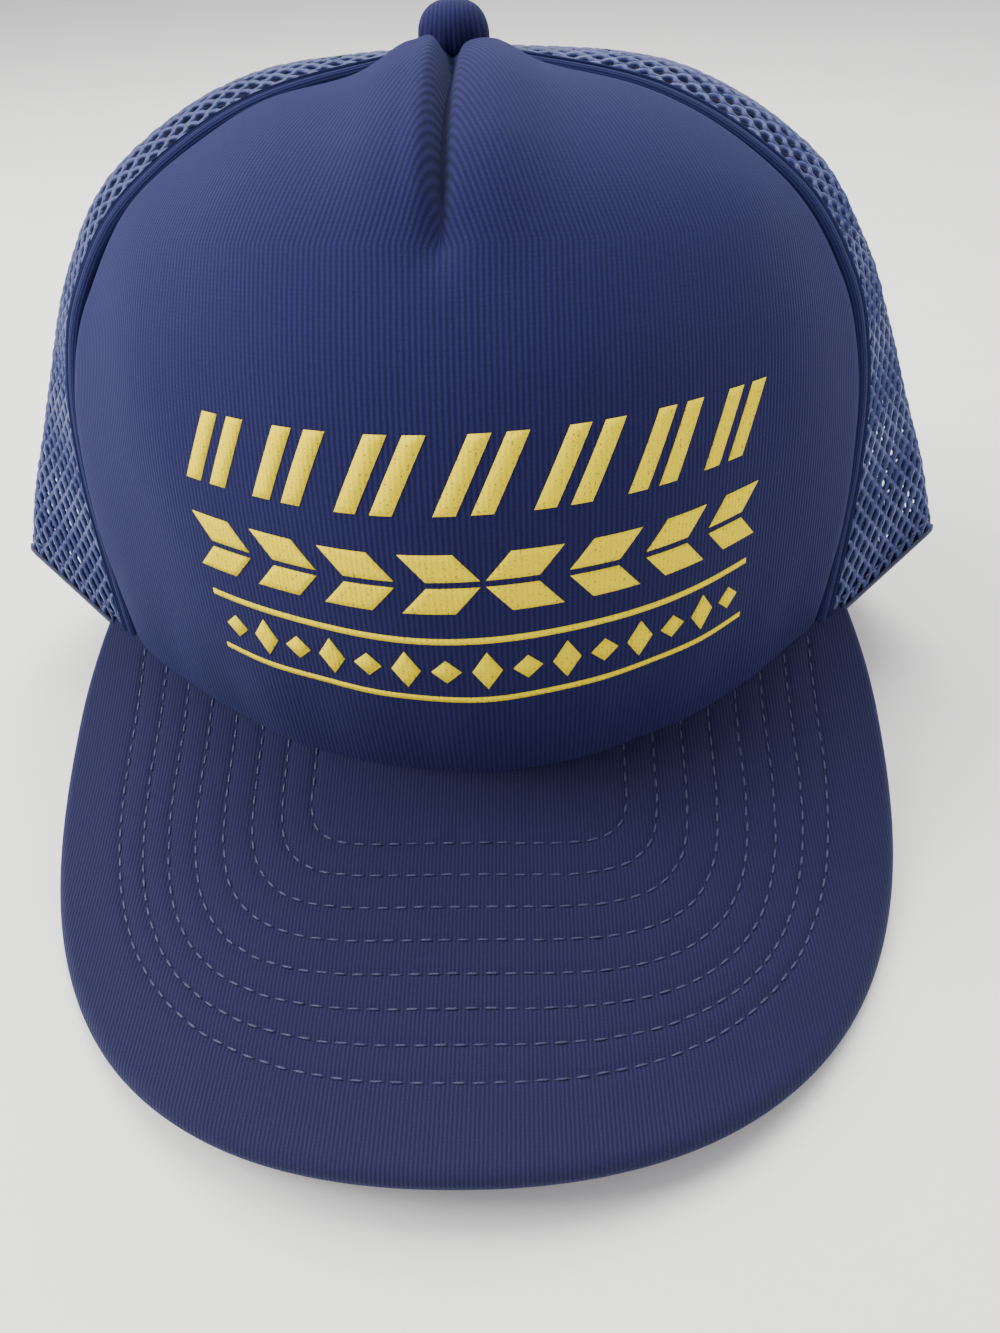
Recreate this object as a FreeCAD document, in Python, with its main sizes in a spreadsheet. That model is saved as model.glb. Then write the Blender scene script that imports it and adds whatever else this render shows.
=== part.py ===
"""Foam-front trucker cap: a stitched cloth crown and visor with a two-part snap strap.

Frame: +Z up, -Y towards the visor, +X to the right of someone facing the front.
The origin is on the table, under the middle of the cap's box.

Every crown piece is a slab of cloth that follows one crown surface. A place on
that surface is (turn, rise): turn runs round the head from 0 at the front
centre, through 1 at the front seam and 2 at the widest point of the side, to 4
at the back centre, and rise runs from 0 at the lower edge to 1 at the button.
"""
import FreeCAD
import Part
import math
import os

DIMENSIONS = [
    ("crown_half_width", 111.0, "widest point of the side, from the centre"),
    ("crown_depth", 152.0, "front seam centre to back edge"),
    ("crown_height", 139.0, "the full height that the guide lines are fractions of"),
    ("seam_setback", -41.3, "front seam centre, from the origin along Y"),
    ("knit_thickness", 0.8, "face cloth of the front panel"),
    ("foam_thickness", 3.0, "foam behind the front panel"),
    ("mesh_thickness", 0.8, "nylon net"),
    ("tape_thickness", 0.6, "seam tapes"),
    ("layer_gap", 0.3, "clearance between sewn layers"),
    ("seam_gap", 0.25, "clearance between panels edge to edge"),
    ("surface_length", 165.0, "lower edge to button, over the crown"),
    ("welt_width", 5.4, "corded strip over each front seam"),
    ("tape_half_width", 7.0, "seam tape, centre to edge"),
    ("sweatband_height", 30.0, "band inside the lower edge"),
    ("sweatband_thickness", 1.2, "band inside the lower edge"),
    ("binding_height", 7.0, "tape inside the lower edge of the net"),
    ("visor_half_width", 88.8, "visor, centre to side"),
    ("visor_length", 74.2, "front seam centre to the visor's front"),
    ("visor_widest_back", 24.1, "widest line of the visor, behind the seam centre"),
    ("visor_corner_half_width", 85.6, "where the visor's side meets the seam"),
    ("visor_corner_back", 48.4, "same corner, behind the seam centre"),
    ("visor_lift", 22.0, "middle of the visor's thickness at the seam centre"),
    ("visor_slope", 18.3, "degrees that the visor falls towards the front"),
    ("visor_arch", 17.1, "fall across the visor, 90 from its centre line"),
    ("visor_scoop", 11.7, "rise along the visor, 70 from the seam centre"),
    ("visor_clearance", 1.6, "front panel to the visor's rear edge"),
    ("visor_board_thickness", 2.0, "stiff plastic board"),
    ("visor_foam_thickness", 0.7, "foam over the board"),
    ("visor_cloth_thickness", 0.8, "cloth over and under the visor"),
    ("visor_hem", 1.4, "cloth beyond the board's edge"),
    ("thread_width", 0.7, "topstitching thread"),
    ("stitch_rows", 8.0, "rows of topstitching on the visor"),
    ("first_row_half_width", 31.0, "innermost row of topstitching"),
    ("first_row_length", 15.1, "innermost row, in front of the seam centre"),
    ("last_row_half_width", 73.5, "outermost row of topstitching"),
    ("last_row_length", 59.0, "outermost row, in front of the seam centre"),
    ("button_radius", 6.8, "covered button"),
    ("button_height", 8.0, "covered button"),
    ("button_rivet_radius", 2.2, "post of the button's rivet"),
    ("arch_half_width", 43.0, "opening above the snap strap"),
    ("arch_height", 50.0, "opening above the snap strap"),
    ("arch_binding_width", 5.0, "tape round the opening"),
    ("strap_height", 18.0, "snap strap"),
    ("strap_thickness", 1.5, "snap strap"),
    ("strap_lift", 1.2, "strap's lower edge above the table"),
    ("strap_gap", 0.3, "between the two straps where they overlap"),
    ("strap_hinge_half_span", 40.8, "flex line of each strap, from the centre"),
    ("strap_line", 144.6, "middle of the strap's anchor, behind the seam centre"),
    ("snap_pitch", 8.0, "peg to peg"),
    ("snap_count", 7.0, "pegs on one strap, holes in the other"),
    ("peg_radius", 1.8, "snap peg"),
    ("peg_height", 3.0, "snap peg, above the strap's face"),
    ("hole_radius", 2.3, "snap hole"),
    ("strap_tip_margin", 5.0, "last peg or hole to the strap's tip"),
    ("label_width", 24.0, "blank sewn label"),
    ("label_height", 12.0, "blank sewn label"),
]

# The crown's four guide lines, lower edge to button, as fractions of the half
# width, the depth and the height.
FRONT_LINE = [(0, 0, 0.147), (0, -0.023, 0.310), (0, -0.030, 0.475), (0, -0.013, 0.635),
              (0, 0.046, 0.778), (0, 0.165, 0.902), (0, 0.33, 0.963), (0, 0.535, 0.975)]
SEAM_LINE = [(0.707, 0.268, 0.186), (0.727, 0.303, 0.326), (0.739, 0.336, 0.460),
             (0.734, 0.375, 0.590), (0.694, 0.414, 0.707), (0.585, 0.460, 0.822),
             (0.355, 0.507, 0.925), (0.025, 0.545, 0.975)]
EAR_LINE = [(1.0, 0.447, 0.262), (0.964, 0.474, 0.370), (0.91, 0.50, 0.478), (0.848, 0.52, 0.594),
            (0.775, 0.533, 0.712), (0.650, 0.546, 0.840), (0.395, 0.575, 0.945),
            (0.036, 0.559, 0.975)]
BACK_LINE = [(0, 1.0, 0.0), (0, 1.027, 0.17), (0, 1.027, 0.345), (0, 1.0, 0.515),
             (0, 0.95, 0.68), (0, 0.86, 0.83), (0, 0.74, 0.935), (0, 0.585, 0.975)]
SEAM_TURN = 1.0
EAR_TURN = 2.0
SIDE_SEAM_TURN = 2.55
BACK_TURN = 4.0
SWEATBAND_END_TURN = 3.42
BINDING_START_TURN = 1.3
BINDING_END_TURN = 3.25
ANCHOR_TURNS = (3.27, 3.475)
LEVELS = len(FRONT_LINE) - 1

document = FreeCAD.newDocument("TruckerCap")


def make_sheet():
    """Put the driving dimensions in a spreadsheet, one row each."""
    sheet = document.addObject("Spreadsheet::Sheet", "Dimensions")
    for row, (alias, value, meaning) in enumerate(DIMENSIONS, start=1):
        sheet.set("A%d" % row, alias)
        sheet.set("B%d" % row, str(value))
        sheet.set("C%d" % row, meaning)
        sheet.setAlias("B%d" % row, alias)
    document.recompute()
    return sheet


sheet = make_sheet()


def size(alias):
    """Read one driving dimension."""
    return float(sheet.get(alias))


# ---- the crown surface ----

def along(line, rise):
    """Point of a guide line at this rise, by a cubic through its points."""
    place = min(max(rise, 0.0), 1.0) * LEVELS
    start = min(int(place), LEVELS - 1)
    part = place - start
    found = []
    for axis in range(3):
        here = line[start][axis]
        following = line[start + 1][axis]
        before = line[start - 1][axis] if start > 0 else 2 * here - following
        after = line[start + 2][axis] if start + 2 <= LEVELS else 2 * following - here
        bend = 2 * before - 5 * here + 4 * following - after
        twist = 3 * (here - following) + after - before
        found.append(here + 0.5 * part * (following - before + part * (bend + part * twist)))
    return found


def section_point(turn, rise):
    """Point of the crown before its side corners are rounded."""
    side = 1.0
    if turn < 0:
        side, turn = -side, -turn
    if turn > BACK_TURN:
        side, turn = -side, 2 * BACK_TURN - turn
    front = along(FRONT_LINE, rise)
    seam = along(SEAM_LINE, rise)
    ear = along(EAR_LINE, rise)
    back = along(BACK_LINE, rise)
    if turn <= SEAM_TURN:
        across = seam[0] * turn
        depth = front[1] + (seam[1] - front[1]) * turn ** 2
        up = front[2] + (seam[2] - front[2]) * turn ** 2
    elif turn <= EAR_TURN:
        across, depth, up = [a + (b - a) * (turn - SEAM_TURN) for a, b in zip(seam, ear)]
    else:
        angle = (turn - EAR_TURN) / (BACK_TURN - EAR_TURN) * math.pi / 2
        across = ear[0] * math.cos(angle)
        depth = ear[1] + (back[1] - ear[1]) * math.sin(angle)
        up = back[2] + (ear[2] - back[2]) * (1 - math.sin(angle)) ** 1.8
    return FreeCAD.Vector(side * across * size("crown_half_width"),
                          depth * size("crown_depth") + size("seam_setback"),
                          up * size("crown_height"))


def crown_point(turn, rise, soften=0.06):
    """Point of the crown, its side corner rounded over a window of turns."""
    window = (soften + 0.2 * rise) * math.exp(-((turn - EAR_TURN) / 0.6) ** 2)
    window += (soften + 0.2 * rise) * math.exp(-((turn + EAR_TURN) / 0.6) ** 2)
    window += (soften + 0.2 * rise) * math.exp(-((turn - 2 * BACK_TURN + EAR_TURN) / 0.6) ** 2)
    total = FreeCAD.Vector()
    weights = 0
    for step, weight in ((-2, 1), (-1, 2), (0, 3), (1, 2), (2, 1)):
        total += section_point(turn + step * window, rise) * weight
        weights += weight
    return total / weights


def outward(turn, rise, soften):
    """Unit normal of the crown, pointing away from the head."""
    step = 0.01
    low = max(rise - step, 0.0)
    high = min(rise + step, 1.0)
    round_head = crown_point(turn + step, rise, soften) - crown_point(turn - step, rise, soften)
    upwards = crown_point(turn, high, soften) - crown_point(turn, low, soften)
    normal = round_head.cross(upwards)
    return normal.normalize()


def moved_turn(turn, distance, rise, limit=0.35):
    """The turn this far round the head from another, never more than a limit."""
    step = 0.04 if distance > 0 else -0.04
    speed = (crown_point(turn + step, rise) - crown_point(turn, rise)).Length / abs(step)
    return turn + max(-limit, min(limit, distance / speed))


# ---- solids from grids of points ----

def even_knots(pole_count):
    """Knots and multiplicities of a clamped cubic with this many poles."""
    spans = pole_count - 3
    return list(range(spans + 1)), [4] + [1] * (spans - 1) + [4]


def smooth_surface(rows):
    """Cubic B-spline surface drawn by a close grid of poles."""
    u_knots, u_mults = even_knots(len(rows))
    v_knots, v_mults = even_knots(len(rows[0]))
    surface = Part.BSplineSurface()
    surface.buildFromPolesMultsKnots(rows, u_mults, v_mults, u_knots, v_knots,
                                     False, False, 3, 3)
    return surface


def slab(name, top_rows, bottom_rows):
    """Closed solid between two grids of points, as a document object."""
    top = smooth_surface(top_rows)
    bottom = smooth_surface(bottom_rows)
    faces = [top.toShape(), bottom.toShape()]
    u0, u1, v0, v1 = top.bounds()
    b0, b1, c0, c1 = bottom.bounds()
    sides = [(top.uIso(u0), bottom.uIso(b0)), (top.uIso(u1), bottom.uIso(b1)),
             (top.vIso(v0), bottom.vIso(c0)), (top.vIso(v1), bottom.vIso(c1))]
    for upper, lower in sides:
        faces.append(Part.makeRuledSurface(upper.toShape(), lower.toShape()))
    shell = Part.makeShell(faces)
    shell.sewShape(0.001)
    solid = Part.makeSolid(Part.Shell(shell.Faces))
    if solid.Volume < 0:
        solid.reverse()
    piece = document.addObject("Part::Feature", name)
    piece.Shape = solid
    piece.Label = name
    piece.Placement = FreeCAD.Placement()
    return piece


def spread(count):
    """Fractions from 0 to 1 in this many even steps."""
    return [step / count for step in range(count + 1)]


def crown_slab(name, first_turn, last_turn, first_rise, last_rise, outer, inner,
               round_steps, rise_steps, soften=0.06):
    """Slab of cloth on the crown between two turns, each a function of the rise."""
    grids = []
    for height in (outer, inner):
        rows = []
        for upward in spread(rise_steps):
            rise = first_rise + (last_rise - first_rise) * upward
            start = first_turn(rise)
            end = last_turn(rise)
            row = []
            for part in spread(round_steps):
                turn = start + (end - start) * part
                point = crown_point(turn, rise, soften)
                row.append(point + outward(turn, rise, soften) * height)
            rows.append(row)
        grids.append(rows)
    return slab(name, grids[0], grids[1])


def fixed(turn):
    """Edge that stays at one turn."""
    return lambda rise: turn


def beside(turn, distance):
    """Edge that runs beside a turn at a distance."""
    return lambda rise: moved_turn(turn, distance, rise)


def mirrored(source, name):
    """The same piece on the other side of the cap."""
    twin = document.addObject("Part::Mirroring", name)
    twin.Source = source
    twin.Base = FreeCAD.Vector(0, 0, 0)
    twin.Normal = FreeCAD.Vector(1, 0, 0)
    twin.Label = name
    return twin


def rise_of(alias):
    """The rise that a length over the cloth takes up."""
    return size(alias) / size("surface_length")


# ---- crown pieces ----

def make_front_panel():
    """Face cloth of the front and the foam behind it."""
    gap = size("layer_gap")
    knit = size("knit_thickness")
    cloth_edge = size("welt_width") / 2 + size("seam_gap")
    crown_slab("front_panel", beside(-SEAM_TURN, cloth_edge), beside(SEAM_TURN, -cloth_edge),
               0.0, 0.985, 0.0, -knit, 40, 32)
    foam_top = -knit - gap
    foam_edge = cloth_edge + 0.6
    crown_slab("front_foam", beside(-SEAM_TURN, foam_edge), beside(SEAM_TURN, -foam_edge),
               0.01, 0.96, foam_top, foam_top - size("foam_thickness"), 40, 32)


def make_right_net(arch):
    """Side and rear net panels of the right half."""
    thick = size("mesh_thickness")
    gap = size("seam_gap")
    crown_slab("side_mesh_right", beside(SEAM_TURN, size("welt_width") / 2 + gap),
               beside(SIDE_SEAM_TURN, -gap), 0.0, 0.985, 0.0, -thick, 36, 32)
    rear = crown_slab("rear_mesh_right_uncut", beside(SIDE_SEAM_TURN, gap),
                      beside(BACK_TURN, -gap), 0.0, 0.985, 0.0, -thick, 28, 32)
    cut = document.addObject("Part::Cut", "rear_mesh_right")
    cut.Base = rear
    cut.Tool = arch
    cut.Label = "rear_mesh_right"


def make_right_trims():
    """Welt, seam tapes and lower edge binding of the right half."""
    gap = size("layer_gap")
    half_welt = size("welt_width") / 2
    tape_top = -size("mesh_thickness") - gap
    tape_bottom = tape_top - size("tape_thickness")
    half_tape = size("tape_half_width")
    crown_slab("welt_right", beside(SEAM_TURN, -half_welt), beside(SEAM_TURN, half_welt),
               0.02, 0.985, 1.0, -0.6, 4, 32)
    crown_slab("front_seam_tape_right", beside(SEAM_TURN, -half_welt),
               beside(SEAM_TURN, half_tape + half_welt), 0.02, 0.93, tape_top, tape_bottom, 4, 30)
    crown_slab("side_seam_tape_right", beside(SIDE_SEAM_TURN, -half_tape),
               beside(SIDE_SEAM_TURN, half_tape), 0.02, 0.93, tape_top, tape_bottom, 4, 30)
    binding_top = tape_bottom - 0.25
    crown_slab("edge_binding_right", fixed(BINDING_START_TURN), fixed(BINDING_END_TURN), 0.002,
               rise_of("binding_height"), binding_top, binding_top - size("tape_thickness"), 70, 4)


def make_centre_pieces(arch_ring):
    """Back seam tape, opening binding, dart tape, sweatband and label."""
    gap = size("layer_gap")
    tape_top = -size("mesh_thickness") - gap
    tape = size("tape_thickness")
    half_tape = size("tape_half_width")
    crown_slab("rear_seam_tape", beside(BACK_TURN, -half_tape), beside(BACK_TURN, half_tape),
               0.42, 0.93, tape_top, tape_top - tape, 4, 20)
    foam_back = -size("knit_thickness") - size("foam_thickness") - 2.5 * gap
    crown_slab("dart_tape", fixed(-0.12), fixed(0.12), 0.72, 0.93, foam_back, foam_back - tape, 4, 10)
    band_face = foam_back - 0.4
    band_back = band_face - size("sweatband_thickness")
    crown_slab("sweatband", fixed(-SWEATBAND_END_TURN), fixed(SWEATBAND_END_TURN),
               0.012, rise_of("sweatband_height"), band_face, band_back, 90, 6, soften=0.3)
    label_low = 0.05
    half_label = size("label_width") / 2
    crown_slab("inner_label", beside(0.0, -half_label), beside(0.0, half_label), label_low,
               label_low + rise_of("label_height"), band_back - gap, band_back - gap - 0.4, 4, 3)
    band = crown_slab("arch_binding_uncut", fixed(3.2), fixed(2 * BACK_TURN - 3.2), 0.0, 0.46,
                      0.8, -1.0, 40, 18)
    binding = document.addObject("Part::Common", "arch_binding")
    binding.Base = band
    binding.Tool = arch_ring
    binding.Label = "arch_binding"


def arch_prism(name, widen):
    """Half-round prism through the back of the crown, wider than the opening."""
    half_width = size("arch_half_width") + widen
    height = size("arch_height") + widen
    ellipse = Part.Ellipse(FreeCAD.Vector(0, 0, 0), height, half_width)
    outline = ellipse.toShape()
    face = Part.Face(Part.Wire([outline]))
    face.rotate(FreeCAD.Vector(), FreeCAD.Vector(0, 1, 0), -90)
    face.rotate(FreeCAD.Vector(), FreeCAD.Vector(0, 0, 1), 90)
    start = 0.55 * size("crown_depth") + size("seam_setback")
    face.translate(FreeCAD.Vector(0, start, 0))
    prism = document.addObject("Part::Feature", name)
    prism.Shape = face.extrude(FreeCAD.Vector(0, size("crown_depth"), 0))
    prism.Label = name
    return prism


def make_arch_tools():
    """Cutter for the net and the ring that trims the opening's binding."""
    width = size("arch_binding_width")
    net_cutter = arch_prism("arch_cutter", width + 0.2)
    outer = arch_prism("arch_ring_outer", width)
    inner = arch_prism("arch_ring_inner", 0.0)
    ring = document.addObject("Part::Cut", "arch_ring")
    ring.Base = outer
    ring.Tool = inner
    return net_cutter, ring


# ---- visor pieces ----

def visor_height(across, back):
    """Middle of the visor's thickness: it droops forward and arches across."""
    slope = math.tan(math.radians(size("visor_slope"))) * back
    arch = size("visor_arch") * (across / 90.0) ** 2
    scoop = size("visor_scoop") * (back / 70.0) ** 2
    return size("visor_lift") + slope - arch + scoop


def visor_seam(part, inset):
    """Point of the visor's rear edge, from -1 at its left end to 1 at its right."""
    clearance = size("visor_clearance")
    across = (size("visor_corner_half_width") - 1.5 * clearance) * part
    back = size("visor_corner_back") * (across / size("visor_corner_half_width")) ** 2
    return across, back - clearance - inset


def visor_rim(part, inset):
    """Point of the visor's outline, from -1 at its left end to 1 at its right."""
    widest = size("visor_widest_back")
    half_width = size("visor_half_width") - inset
    length = size("visor_length") - inset
    straight = 0.14
    along_rim = abs(part)
    side = 1.0 if part >= 0 else -1.0
    if along_rim > 1 - straight:
        run = (along_rim - (1 - straight)) / straight
        corner = size("visor_corner_half_width") - inset
        across = half_width - (half_width - corner) * run ** 2
        back = widest + (size("visor_corner_back") - 3.0 - widest) * run
        return side * across, back
    angle = math.pi / 2 * (1 - along_rim / (1 - straight))
    power = 2 / 2.17
    across = half_width * math.cos(angle) ** power
    back = widest - (length + widest) * math.sin(angle) ** power
    return side * across, back


def visor_layer(name, top, bottom, inset):
    """One layer of the visor between two heights off its middle."""
    grids = []
    for height in (top, bottom):
        rows = []
        for outwards in spread(10):
            row = []
            for step in spread(60):
                part = 2 * step - 1
                inner = visor_seam(part, inset)
                outer = visor_rim(part, inset)
                across = inner[0] + (outer[0] - inner[0]) * outwards
                back = inner[1] + (outer[1] - inner[1]) * outwards
                row.append(FreeCAD.Vector(across, back + size("seam_setback"),
                                          visor_height(across, back) + height))
            rows.append(row)
        grids.append(rows)
    return slab(name, grids[0], grids[1])


def make_visor():
    """Board, foam and the cloth above and below."""
    gap = 0.05
    cloth = size("visor_cloth_thickness")
    hem = size("visor_hem")
    board_top = size("visor_board_thickness") / 2
    foam_top = board_top + gap + size("visor_foam_thickness")
    cloth_top = foam_top + gap + cloth
    visor_layer("visor_board", board_top, -board_top, hem)
    visor_layer("visor_foam", foam_top, board_top + gap, hem)
    visor_layer("visor_top_cloth", cloth_top, foam_top + gap, 0.0)
    visor_layer("visor_under_cloth", -board_top - gap, -board_top - gap - cloth, 0.0)
    return cloth_top


def stitch_row(number, count):
    """Plan points of one row of topstitching, the innermost first."""
    part = number / (count - 1)
    half_width = (size("first_row_half_width") * (1 - part)
                  + size("last_row_half_width") * part)
    length = size("first_row_length") * (1 - part) + size("last_row_length") * part
    widest = 4.0 + 16.0 * part
    power = 2 / (5.0 - 2.6 * part ** 0.7)
    points = []
    for step in spread(80):
        angle = math.pi * step
        across = half_width * abs(math.cos(angle)) ** power
        across = across if step < 0.5 else -across
        back = widest - (length + widest) * math.sin(angle) ** power
        points.append((across, back))
    return points


def make_visor_stitching(cloth_top):
    """Rows of thread on the visor, each a thin solid on the cloth."""
    half = size("thread_width") / 2
    rows = []
    row_count = int(size("stitch_rows"))
    for number in range(row_count):
        points = stitch_row(number, row_count)
        grids = []
        for height in (cloth_top + 0.5, cloth_top + 0.2):
            edges = []
            for offset in (-half, -half / 3, half / 3, half):
                edge = []
                for across, back in points:
                    spread_out = math.hypot(across, back - 10.0)
                    scale = 1 + offset / spread_out
                    wide = across * scale
                    deep = 10.0 + (back - 10.0) * scale
                    edge.append(FreeCAD.Vector(wide, deep + size("seam_setback"),
                                               visor_height(wide, deep) + height))
                edges.append(edge)
            grids.append(edges)
        rows.append(slab("stitch_row_%d" % (number + 1), grids[0], grids[1]))
    group = document.addObject("Part::Compound", "visor_stitching")
    group.Links = rows
    group.Label = "visor_stitching"


# ---- revolved and moulded pieces ----

def origin_plane(body, role):
    """One of a body's own origin planes."""
    for feature in body.Origin.OriginFeatures:
        if feature.Role == role:
            return feature
    raise ValueError(role)


def new_sketch(body, name, role):
    """Sketch on one of the body's origin planes."""
    sketch = body.newObject("Sketcher::SketchObject", name)
    sketch.AttachmentSupport = [(origin_plane(body, role), "")]
    sketch.MapMode = "FlatFace"
    return sketch


def closed_outline(sketch, corners):
    """Draw straight lines round a list of corners."""
    points = [FreeCAD.Vector(x, y, 0) for x, y in corners]
    for start, end in zip(points, points[1:] + points[:1]):
        sketch.addGeometry(Part.LineSegment(start, end), False)


def revolved(name, corners, base_height):
    """Body of revolution about the button's axis from a half profile."""
    body = document.addObject("PartDesign::Body", name)
    body.Label = name
    sketch = new_sketch(body, name + "_profile", "XZ_Plane")
    closed_outline(sketch, corners)
    turned = body.newObject("PartDesign::Revolution", name + "_turned")
    turned.Profile = sketch
    turned.ReferenceAxis = (sketch, ["V_Axis"])
    turned.Angle = 360
    body.Placement.Base = FreeCAD.Vector(0, button_back(), base_height)
    return body


def button_back():
    """Distance of the button's axis from the origin along Y."""
    return 0.56 * size("crown_depth") + size("seam_setback")


def dome(radius, height, steps):
    """Half profile of a squashed ball from its tucked-in base ring to its top."""
    tuck = 0.45
    below = math.sin(tuck)
    points = []
    for part in spread(steps):
        angle = -tuck + (math.pi / 2 + tuck) * part
        points.append((radius * math.cos(angle), height * (math.sin(angle) + below) / (1 + below)))
    points[-1] = (0.0, height)
    return points


def make_button():
    """Covered button: cloth cover, metal shell, and the rivet through the crown."""
    top = size("crown_height") * FRONT_LINE[-1][2] + 0.4
    radius = size("button_radius")
    height = size("button_height")
    skin = 0.8
    gap = 0.1
    outside = dome(radius, height, 14)
    inside = dome(radius - skin, height - skin, 14)
    revolved("top_button_cover", outside + inside[::-1], top)
    metal = 0.5
    shell_out = dome(radius - skin - gap, height - skin - gap, 14)
    shell_in = dome(radius - skin - gap - metal, height - skin - gap - metal, 14)
    revolved("top_button_shell", shell_out + shell_in[::-1], top)
    post = size("button_rivet_radius")
    flange = 6.0
    low = -5.6
    revolved("top_button_rivet", [(0, low), (flange, low), (flange, low + 0.7), (post, low + 0.7),
                                  (post, 0.2), (post + 1.6, 0.2), (post + 1.6, 0.8), (0, 0.8)], top)


def strap_half(name, direction, outer_face):
    """One strap with its snaps still to be added, from its flex line to its tip."""
    body = document.addObject("PartDesign::Body", name)
    body.Label = name
    sketch = new_sketch(body, name + "_outline", "XZ_Plane")
    height = size("strap_height")
    reach = (size("strap_hinge_half_span") + 1.5 * size("snap_pitch")
             + size("strap_tip_margin"))
    nose = 6.0
    corners = [(0, 0)]
    for part in spread(8):
        angle = math.pi * (part - 0.5)
        corners.append((reach - nose + nose * math.cos(angle),
                        height / 2 * (1 + math.sin(angle))))
    corners.append((0, height))
    closed_outline(sketch, [(direction * x, z) for x, z in corners])
    pad = body.newObject("PartDesign::Pad", name + "_strip")
    pad.Profile = sketch
    pad.setExpression("Length", "Dimensions.strap_thickness")
    pad.Midplane = True
    body.Placement.Base = FreeCAD.Vector(-direction * size("strap_hinge_half_span"),
                                         outer_face, size("strap_lift"))
    document.recompute()
    return body, reach


def snap_sketch(body, name, reach, direction, radius):
    """Circle at the snap nearest the strap's tip."""
    sketch = new_sketch(body, name, "XZ_Plane")
    centre = FreeCAD.Vector(direction * (reach - size("strap_tip_margin")),
                            size("strap_height") / 2, 0)
    sketch.addGeometry(Part.Circle(centre, FreeCAD.Vector(0, 0, 1), size(radius)), False)
    return sketch


def repeat_snaps(body, feature, name, direction):
    """Repeat a peg or a hole along the strap."""
    pattern = body.newObject("PartDesign::LinearPattern", name)
    pattern.Originals = [feature]
    pattern.Direction = (origin_plane(body, "X_Axis"), [""])
    pattern.Reversed = direction > 0
    pattern.setExpression("Length", "Dimensions.snap_pitch * (Dimensions.snap_count - 1)")
    pattern.setExpression("Occurrences", "Dimensions.snap_count")
    body.Tip = pattern
    document.recompute()


def make_straps():
    """Peg strap inside and hole strap outside, snapped together at rest."""
    thick = size("strap_thickness")
    step = (thick + size("strap_gap")) / 2
    line = size("strap_line") + size("seam_setback")
    pegs, reach = strap_half("peg_strap", 1, line - step)
    sketch = snap_sketch(pegs, "peg_circle", reach, 1, "peg_radius")
    peg = pegs.newObject("PartDesign::Pad", "peg")
    peg.Profile = sketch
    peg.setExpression("Length", "Dimensions.peg_height + Dimensions.strap_thickness / 2")
    peg.Reversed = True
    document.recompute()
    repeat_snaps(pegs, peg, "peg_row", 1)
    holes, reach = strap_half("hole_strap", -1, line + step)
    sketch = snap_sketch(holes, "hole_circle", reach, -1, "hole_radius")
    hole = holes.newObject("PartDesign::Pocket", "snap_hole")
    hole.Profile = sketch
    hole.Type = 1
    hole.Midplane = True
    document.recompute()
    repeat_snaps(holes, hole, "hole_row", -1)


def make_strap_anchors():
    """Ends of the two straps, sewn inside the lower edge of the net."""
    low = rise_of("strap_lift")
    high = low + rise_of("strap_height")
    face = -1.8
    outer, inner = ANCHOR_TURNS
    for name, start, end in (("hole_strap_anchor", outer, inner),
                             ("peg_strap_anchor", 2 * BACK_TURN - inner, 2 * BACK_TURN - outer)):
        crown_slab(name, fixed(start), fixed(end), low, high, face,
                   face - size("strap_thickness"), 8, 4)


# ---- build, check and write ----

def build():
    """Make every piece of the cap."""
    arch_cutter, arch_ring = make_arch_tools()
    make_front_panel()
    make_right_net(arch_cutter)
    make_right_trims()
    make_centre_pieces(arch_ring)
    document.recompute()
    for name in ("side_mesh", "rear_mesh", "welt", "front_seam_tape", "side_seam_tape",
                 "edge_binding"):
        mirrored(document.getObject(name + "_right"), name + "_left")
    cloth_top = make_visor()
    make_visor_stitching(cloth_top)
    make_button()
    make_straps()
    make_strap_anchors()
    document.recompute()


PIECES = [
    "front_panel", "front_foam", "dart_tape", "side_mesh_right", "side_mesh_left",
    "rear_mesh_right", "rear_mesh_left", "welt_right", "welt_left", "front_seam_tape_right",
    "front_seam_tape_left", "side_seam_tape_right", "side_seam_tape_left", "rear_seam_tape",
    "edge_binding_right", "edge_binding_left", "arch_binding", "sweatband", "inner_label",
    "visor_board", "visor_foam", "visor_top_cloth", "visor_under_cloth", "visor_stitching",
    "top_button_cover", "top_button_shell", "top_button_rivet", "peg_strap", "hole_strap",
    "peg_strap_anchor", "hole_strap_anchor",
]


def check_document():
    """Stop if any object failed or any piece is not a sound solid."""
    for item in document.Objects:
        if "Invalid" in item.State or "Error" in item.State:
            raise RuntimeError("failed object: " + item.Name)
    for name in PIECES:
        shape = document.getObject(name).Shape
        if shape.isNull() or not shape.isValid() or not shape.Solids:
            raise RuntimeError("unsound piece: " + name)


def write_pieces():
    """Write one STEP file for each piece and print its size."""
    os.makedirs("parts", exist_ok=True)
    whole = FreeCAD.BoundBox()
    for name in PIECES:
        shape = document.getObject(name).Shape
        whole.add(shape.BoundBox)
        shape.exportStep("parts/%s.step" % name)
        print("%-24s %2d solids %9.1f mm3" % (name, len(shape.Solids), shape.Volume))
    print("box", whole)


build()
check_document()
write_pieces()
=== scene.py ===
"""Looks of a foam-front trucker cap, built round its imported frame.

The crown follows one surface. A place on it is (turn, rise): turn runs round the head from 0 at the
front centre, through 1 at the front seam and 2 at the widest point of the side, to 4 at the back
centre, and rise runs from 0 at the lower edge to 1 at the button. Pattern lengths are millimetres,
as on a cap maker's pattern, and every mesh is made in metres.
"""
import math
import bmesh
import bpy
import numpy as np
from mathutils import Matrix, Vector


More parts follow.
